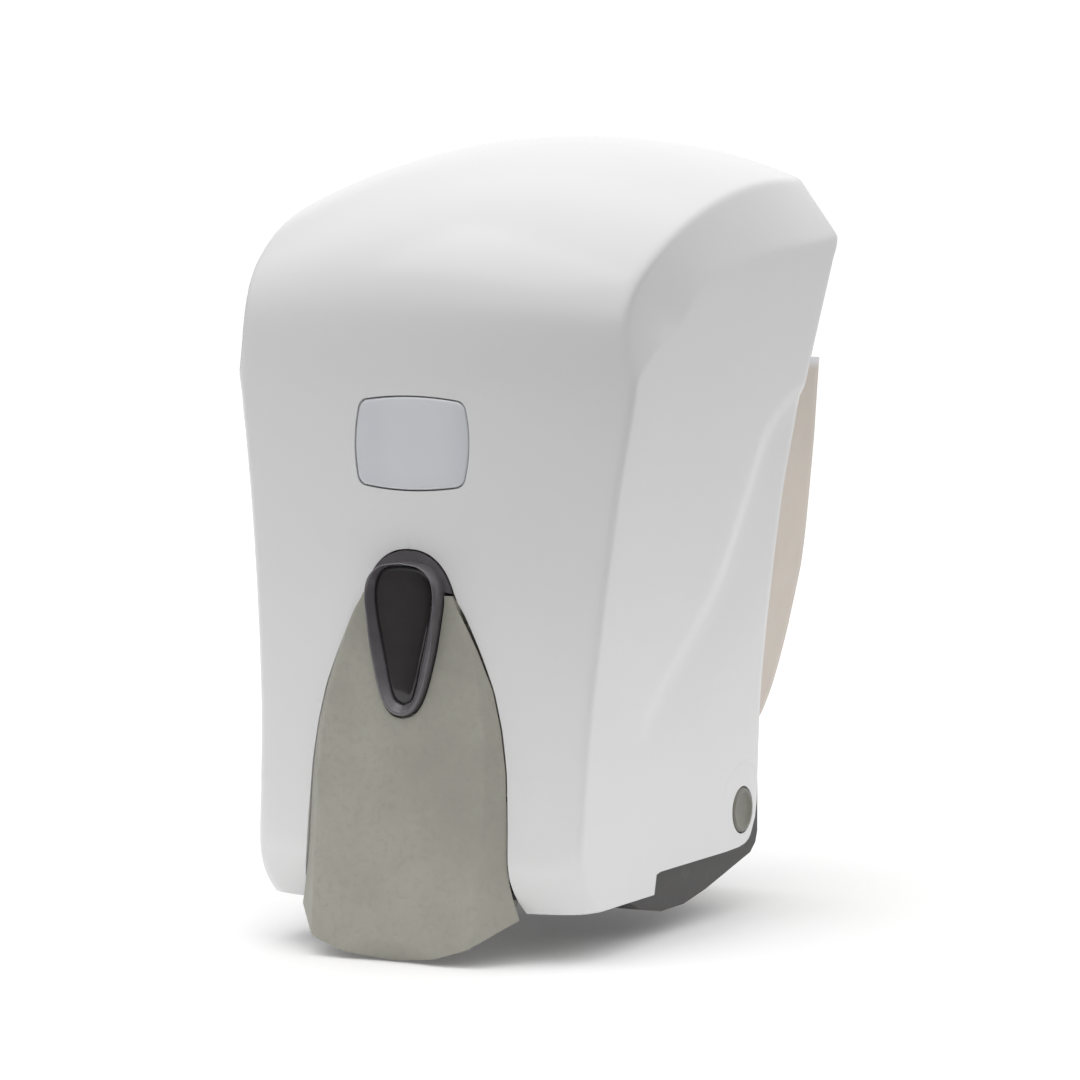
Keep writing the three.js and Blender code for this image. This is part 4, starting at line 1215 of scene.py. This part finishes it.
def softened_copy(node, name, edge, body, material, segments=2, size=None):
    """A copy of a packed node, sized about the origin, its loose faces joined and its edges rounded."""
    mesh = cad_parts[node].data.copy()
    mesh.name = name
    if size:
        mesh.transform(Matrix.Diagonal((*size, 1)))
    merged(mesh, 0.02)
    work = bmesh.new()
    work.from_mesh(mesh)
    bmesh.ops.dissolve_limit(work, angle_limit=math.radians(1.2), verts=work.verts, edges=work.edges)
    work.to_mesh(mesh)
    work.free()
    if mesh.attributes.get("custom_normal"):
        mesh.attributes.remove(mesh.attributes["custom_normal"])
    shaded(mesh, 32)
    piece = placed(name, mesh)
    rounded(piece, edge, segments, 32, harden=True)
    settled(piece)
    return finished(piece, body, material, [node])


class DISPENSER_OT_base(bpy.types.Operator):
    """Builds the dark base, the wall plate and the latch from the packed part, with rounded edges"""

    bl_idname = "dispenser.base"
    bl_label = "Base and latch"

    def execute(self, context):
        settings = context.scene.dispenser_body
        edge = settings.edge / MM
        dark = mottled("dark base", tone(*settings.base_colour), 0.4, 0.00005)
        softened_copy("base_chassis", "base_tray", edge, "base", dark, 3)
        softened_copy("wall_plate", "back_plate", 0.5, "base", dark, size=PLATE_SIZE)
        softened_copy("latch_guide", "latch_housing", 0.3, "base", dark)
        softened_copy("latch_slider", "latch_bolt", 0.3, "latch", dark)
        return {"FINISHED"}


class DISPENSER_OT_works(bpy.types.Operator):
    """Gives the pump, the valves, the seals and the axle their finishes"""

    bl_idname = "dispenser.works"
    bl_label = "Pump and valves"

    def execute(self, context):
        acetal = soft_moulded("acetal", tone(0.76, 0.75, 0.70), 0.34)
        rubber = soft_moulded("nitrile rubber", tone(0.022, 0.022, 0.025), 0.62)
        silicone = soft_moulded("silicone", tone(0.62, 0.66, 0.70), 0.42)
        steel = drawn_steel(tone(*context.scene.dispenser_body.steel_colour))
        softened_copy("pump_body", "pump_barrel", 0.3, "base", acetal)
        for material, names in (
            (acetal, ("pump_gland", "nozzle", "piston", "lever_nose")),
            (rubber, ("tank_outlet_seal", "piston_seal")),
            (silicone, ("inlet_valve", "outlet_valve")),
            (steel, ("lever_axle",)),
        ):
            for name in names:
                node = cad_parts[name]
                for slot in node.material_slots:
                    slot.material = material
        return {"FINISHED"}


# ------------------------------------------------------------------ geometry nodes


class Tree:
    """A geometry node tree with named inputs, built from nodes that take values or links."""

    def __init__(self, name, inputs):
        self.tree = bpy.data.node_groups.new(name, "GeometryNodeTree")
        face = self.tree.interface
        face.new_socket("Geometry", in_out="INPUT", socket_type="NodeSocketGeometry")
        self.identifiers = {}
        for label, kind, value in inputs:
            socket = face.new_socket(label, in_out="INPUT", socket_type=kind)
            if value is not None:
                socket.default_value = value
            self.identifiers[label] = socket.identifier
        face.new_socket("Geometry", in_out="OUTPUT", socket_type="NodeSocketGeometry")
        self.start = self.tree.nodes.new("NodeGroupInput")
        self.end = self.tree.nodes.new("NodeGroupOutput")

    def given(self, label):
        return self.start.outputs[label]

    def node(self, kind, settings=None, sockets=None):
        made = self.tree.nodes.new(kind)
        for key, value in (settings or {}).items():
            setattr(made, key, value)
        for key, value in (sockets or {}).items():
            if isinstance(value, bpy.types.NodeSocket):
                self.tree.links.new(value, made.inputs[key])
            else:
                made.inputs[key].default_value = value
        return made

    def worked(self, operation, first, second):
        return self.node("ShaderNodeMath", {"operation": operation}, {0: first, 1: second}).outputs[0]

    def made(self, kind, **sockets):
        """The output of a node, given its sockets by name."""
        return self.node(kind, None, sockets).outputs[0]

    def vector(self, x, y, z):
        return self.made("ShaderNodeCombineXYZ", X=x, Y=y, Z=z)

    def lifted(self, geometry, height):
        rise = self.vector(0.0, 0.0, height)
        return self.made("GeometryNodeTransform", Geometry=geometry, Translation=rise)

    def finish(self, geometry):
        real = self.made("GeometryNodeRealizeInstances", Geometry=geometry)
        painted = self.made("GeometryNodeSetMaterial", Geometry=real, Material=self.given("Material"))
        self.tree.links.new(painted, self.end.inputs[0])

    def grown(self, name, mesh, values):
        """The plain mesh that the tree makes from a starting mesh and the values of its inputs."""
        piece = placed(name, mesh)
        grow = piece.modifiers.new("Grown", "NODES")
        grow.node_group = self.tree
        for label, value in values.items():
            grow[self.identifiers[label]] = value
        return settled(piece)


def spring_tree():
    """A helix of round wire, standing on the origin along Z."""
    tree = Tree("Coil spring", [
        ("Turns", "NodeSocketFloat", 6.0), ("Radius", "NodeSocketFloat", 0.005),
        ("Length", "NodeSocketFloat", 0.02),
        ("Wire radius", "NodeSocketFloat", 0.0005), ("Material", "NodeSocketMaterial", None),
    ])
    wire = tree.given("Wire radius")
    height = tree.worked("SUBTRACT", tree.given("Length"), tree.worked("MULTIPLY", wire, 2.0))
    spiral = tree.node("GeometryNodeCurveSpiral", None, {
        "Resolution": 40, "Rotations": tree.given("Turns"), "Start Radius": tree.given("Radius"),
        "End Radius": tree.given("Radius"), "Height": height,
    })
    ring = tree.made("GeometryNodeCurvePrimitiveCircle", Resolution=14, Radius=wire)
    tube = tree.node("GeometryNodeCurveToMesh", None, {
        "Curve": spiral.outputs[0], "Profile Curve": ring, "Fill Caps": True,
    })
    tree.finish(tree.made("GeometryNodeSetShadeSmooth", Geometry=tree.lifted(tube.outputs[0], wire)))
    return tree


def screw_tree():
    """A pan-head screw with a cross recess on every point given, its head along Z before it is turned."""
    tree = Tree("Pan-head screws", [
        ("Head radius", "NodeSocketFloat", 0.004), ("Head height", "NodeSocketFloat", 0.002),
        ("Shank radius", "NodeSocketFloat", 0.002), ("Length", "NodeSocketFloat", 0.01),
        ("Rotation", "NodeSocketRotation", None), ("Material", "NodeSocketMaterial", None),
    ])
    radius, height = tree.given("Head radius"), tree.given("Head height")
    shank, length = tree.given("Shank radius"), tree.given("Length")

    def drum(vertices, top, bottom, tall, lift):
        sizes = {"Vertices": vertices, "Radius Top": top, "Radius Bottom": bottom, "Depth": tall}
        return tree.lifted(tree.made("GeometryNodeMeshCone", **sizes), lift)

    def share(value, part):
        return tree.worked("MULTIPLY", value, part)

    parts = [
        drum(48, radius, radius, share(height, 0.5), 0.0),
        drum(48, share(radius, 0.93), radius, share(height, 0.25), share(height, 0.5)),
        drum(48, share(radius, 0.72), share(radius, 0.93), share(height, 0.25), share(height, 0.75)),
        drum(32, shank, share(shank, 0.6), length, share(length, -1.0)),
    ]
    long, thin, deep = share(radius, 0.95), share(radius, 0.17), share(height, 0.9)
    slots = [tree.lifted(tree.made("GeometryNodeMeshCube", Size=tree.vector(*size)), height)
             for size in ((long, thin, deep), (thin, long, deep))]
    solid = tree.node("GeometryNodeMeshBoolean", {"operation": "UNION", "solver": "EXACT"})
    for part in parts:
        tree.tree.links.new(part, solid.inputs["Mesh 2"])
    carved = tree.node("GeometryNodeMeshBoolean", {"operation": "DIFFERENCE", "solver": "EXACT"},
                       {"Mesh 1": solid.outputs[0]})
    for slot in slots:
        tree.tree.links.new(slot, carved.inputs["Mesh 2"])
    tree.finish(tree.made(
        "GeometryNodeInstanceOnPoints", Points=tree.given("Geometry"), Instance=carved.outputs[0],
        Rotation=tree.given("Rotation"),
    ))
    return tree


class DISPENSER_OT_springs(bpy.types.Operator):
    """Winds the pump's return spring and the latch spring"""

    bl_idname = "dispenser.springs"
    bl_label = "Springs"

    def execute(self, context):
        steel = drawn_steel(tone(*context.scene.dispenser_body.steel_colour))
        tree = spring_tree()
        for name, node, turns, wire, joint, travel in (
            ("pump_spring", "return_spring", 6.0, 0.55, "piston_slide", 9.5),
            ("bolt_spring", "latch_spring", 4.0, 0.35, "latch_slide", 3.0),
        ):
            low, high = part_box(node)
            size, middle = high - low, (low + high) / 2
            upright = size.z > size.y * 1.2
            length = size.z if upright else size.y
            radius = size.x / 2 - wire * MM
            spring = tree.grown(name, bpy.data.meshes.new(name), {
                "Turns": turns, "Radius": radius, "Length": length, "Wire radius": wire * MM,
                "Material": steel,
            })
            if upright:
                place = Matrix.Translation((middle.x, middle.y, low.z))
            else:
                place = along_y(middle.x / MM, high.y / MM, middle.z / MM)
            spring.data.transform(place)
            spring.data.update()
            finished(spring, "base", steel, [node])
            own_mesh(spring)
        return {"FINISHED"}


class DISPENSER_OT_screws(bpy.types.Operator):
    """Builds the wall screws, the base screws and the pump screws"""

    bl_idname = "dispenser.screws"
    bl_label = "Screws"

    def execute(self, context):
        steel = drawn_steel(tone(*context.scene.dispenser_body.steel_colour))
        tree = screw_tree()
        to_front, up = (math.pi / 2, 0.0, 0.0), (0.0, 0.0, 0.0)
        groups = (
            ("wall_screws", [f"wall_screw_{i}" for i in (1, 2, 3, 4)], 4.2, 2.4, 2.1, 2.9, to_front),
            ("base_screws", [f"chassis_screw_{i}" for i in (1, 2)], 3.1, 2.0, 1.5, 25.5, to_front),
            ("pump_screws", [f"pump_screw_{i}" for i in (1, 2)], 2.6, 1.6, 1.0, 5.2, up),
        )
        for name, nodes, radius, height, shank, length, turn in groups:
            seats = []
            for node in nodes:
                low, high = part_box(node)
                middle = (low + high) / 2
                seats.append((middle.x, low.y + height * MM, middle.z) if turn[0] else
                             (middle.x, middle.y, high.z - height * MM))
            mesh = bpy.data.meshes.new(name)
            mesh.from_pydata(seats, [], [])
            piece = tree.grown(name, mesh, {
                "Head radius": radius * MM, "Head height": height * MM, "Shank radius": shank * MM,
                "Length": length * MM, "Rotation": turn, "Material": steel})
            shaded(piece.data, 30)
            finished(piece, "base", steel, nodes)
        return {"FINISHED"}


# ------------------------------------------------------------------ stage


class StageSettings(bpy.types.PropertyGroup):
    """Where the camera stands and how the studio is lit."""

    azimuth: angle_input("Azimuth", 27, "Turn of the camera round the dispenser")
    elevation: angle_input("Elevation", 4.57, "Height of the camera above the horizon")
    distance: length_input("Distance", 1.2549, "Distance of the camera from its target")
    lens: number_input("Lens", 154.8, "Focal length of the camera on a 36 mm sensor")
    key: number_input("Key light", 3.0, "Power of the large overhead light")
    front: number_input("Front", 0.33, "Brightness of the studio in front of the dispenser")
    overhead: number_input("Overhead", 1.2, "Brightness of the studio above the dispenser")
    floor_colour: colour_input("Floor colour", (0.93, 0.93, 0.93), "Colour of the floor")


TARGET = Vector((0, -0.0708, -0.0041))
FLOOR_EDGES = (-4000, 260, -380, 4000)
FLOOR_GAP = 0.3
# Direction of the studio's dim side, and brightness of the backdrop.
DIM_SIDE = (0.8, -0.6, 0)
BACKDROP = 1.02
LAMP = {"spot": (-0.25, -0.55, 1.25), "aim": (0, -0.07, 0), "size": (1.1, 0.9)}


class DISPENSER_OT_stage(bpy.types.Operator):
    """Builds the pale floor, the white surround, the overhead softbox and the camera"""

    bl_idname = "dispenser.stage"
    bl_label = "Stage"

    def execute(self, context):
        settings = context.scene.dispenser_stage
        self.floor(settings)
        self.surround(settings)
        self.lamp(settings)
        self.camera(context, settings)
        context.scene.view_settings.view_transform = "Standard"
        return {"FINISHED"}

    @staticmethod
    def lamp(settings):
        light = bpy.data.lights.new("overhead softbox", "AREA")
        light.shape = "RECTANGLE"
        light.size, light.size_y = LAMP["size"]
        light.energy = settings.key
        holder = bpy.data.objects.new("overhead softbox", light)
        holder.location = LAMP["spot"]
        beam = Vector(LAMP["aim"]) - Vector(LAMP["spot"])
        holder.rotation_euler = beam.to_track_quat("-Z", "Y").to_euler()
        bpy.context.scene.collection.objects.link(holder)

    @staticmethod
    def floor(settings):
        low = CAD_BOX[0].z / MM - FLOOR_GAP
        left, right, near, far = FLOOR_EDGES
        corners = [(left, near, low), (right, near, low), (right, far, low), (left, far, low)]
        mesh = new_mesh("floor", corners, [(0, 1, 2, 3)])
        floor = placed("floor", mesh)
        mix = Recipe("pale floor")
        grain = mix.noise(mix.place(), 3, 3)
        colour = tone(*settings.floor_colour)
        base = mix.mixed(grain, shade_of(colour, 0.99), colour)
        glow = {"Emission_Color": tone(1, 1, 1), "Emission_Strength": 0.09}
        mesh.materials.append(mix.surface(Base_Color=base, Roughness=0.85, **glow))

    @staticmethod
    def surround(settings):
        """A studio: bright overhead, dim in front, and a white backdrop behind the dispenser."""
        mix = Recipe("studio surround", "worlds")
        bpy.context.scene.world = mix.owner
        way = mix.node("ShaderNodeTexCoord", out="Generated")
        _, back, up = mix.parts(way)
        dot = {"operation": "DOT_PRODUCT"}
        right = mix.node("ShaderNodeVectorMath", dot, {0: way, 1: DIM_SIDE}, out="Value")
        open_side = up.between(0.05, 0.85, settings.front, settings.overhead)
        dim_side = up.between(0.2, 0.55, settings.front * 0.3, settings.overhead * 1.15)
        studio = right.between(-0.1, 0.75, open_side, dim_side)
        level = back.between(0.55, 0.8, studio, BACKDROP)
        glow = mix.node("ShaderNodeBackground", None, {"Color": tone(1, 1, 1), "Strength": level})
        mix.node("ShaderNodeOutputWorld", None, {"Surface": glow})

    @staticmethod
    def camera(context, settings):
        a, e = settings.azimuth, settings.elevation
        back = Vector((math.sin(a) * math.cos(e), -math.cos(a) * math.cos(e), math.sin(e)))
        lens = bpy.data.cameras.new("studio camera")
        lens.lens = settings.lens
        lens.sensor_width = 36
        lens.clip_start, lens.clip_end = 0.05, 40
        camera = bpy.data.objects.new("studio camera", lens)
        camera.location = TARGET + back * settings.distance
        camera.rotation_euler = (-back).to_track_quat("-Z", "Y").to_euler()
        context.scene.collection.objects.link(camera)
        context.scene.camera = camera


# ------------------------------------------------------------------ add-on


SETTINGS = {
    "dispenser_cover": CoverSettings, "dispenser_glass": GlassSettings, "dispenser_lever": LeverSettings,
    "dispenser_body": BodySettings, "dispenser_stage": StageSettings,
}
OPERATORS = (
    DISPENSER_OT_cover, DISPENSER_OT_badge, DISPENSER_OT_sight_glass, DISPENSER_OT_lever,
    DISPENSER_OT_hinge_caps, DISPENSER_OT_tank, DISPENSER_OT_base, DISPENSER_OT_works,
    DISPENSER_OT_springs, DISPENSER_OT_screws, DISPENSER_OT_stage,
)


class DISPENSER_PT_panel(bpy.types.Panel):
    """Lists the pieces and their settings in the sidebar"""

    bl_idname = "DISPENSER_PT_panel"
    bl_label = "Soap dispenser"
    bl_space_type = "VIEW_3D"
    bl_region_type = "UI"
    bl_category = "Dispenser"

    def draw(self, context):
        for operator in OPERATORS:
            self.layout.operator(operator.bl_idname)
        for key, group in SETTINGS.items():
            box = self.layout.box()
            box.label(text=group.__doc__)
            for name in group.__annotations__:
                box.prop(getattr(context.scene, key), name)


def register():
    for group in SETTINGS.values():
        bpy.utils.register_class(group)
    for kind in (*OPERATORS, DISPENSER_PT_panel):
        bpy.utils.register_class(kind)
    for key, group in SETTINGS.items():
        setattr(bpy.types.Scene, key, bpy.props.PointerProperty(type=group))


def unregister():
    for key in SETTINGS:
        delattr(bpy.types.Scene, key)
    for kind in (DISPENSER_PT_panel, *reversed(OPERATORS), *SETTINGS.values()):
        bpy.utils.unregister_class(kind)


def main():
    register()
    for operator in OPERATORS:
        group, name = operator.bl_idname.split(".")
        getattr(getattr(bpy.ops, group), name)()


if __name__ == "__main__":
    main()
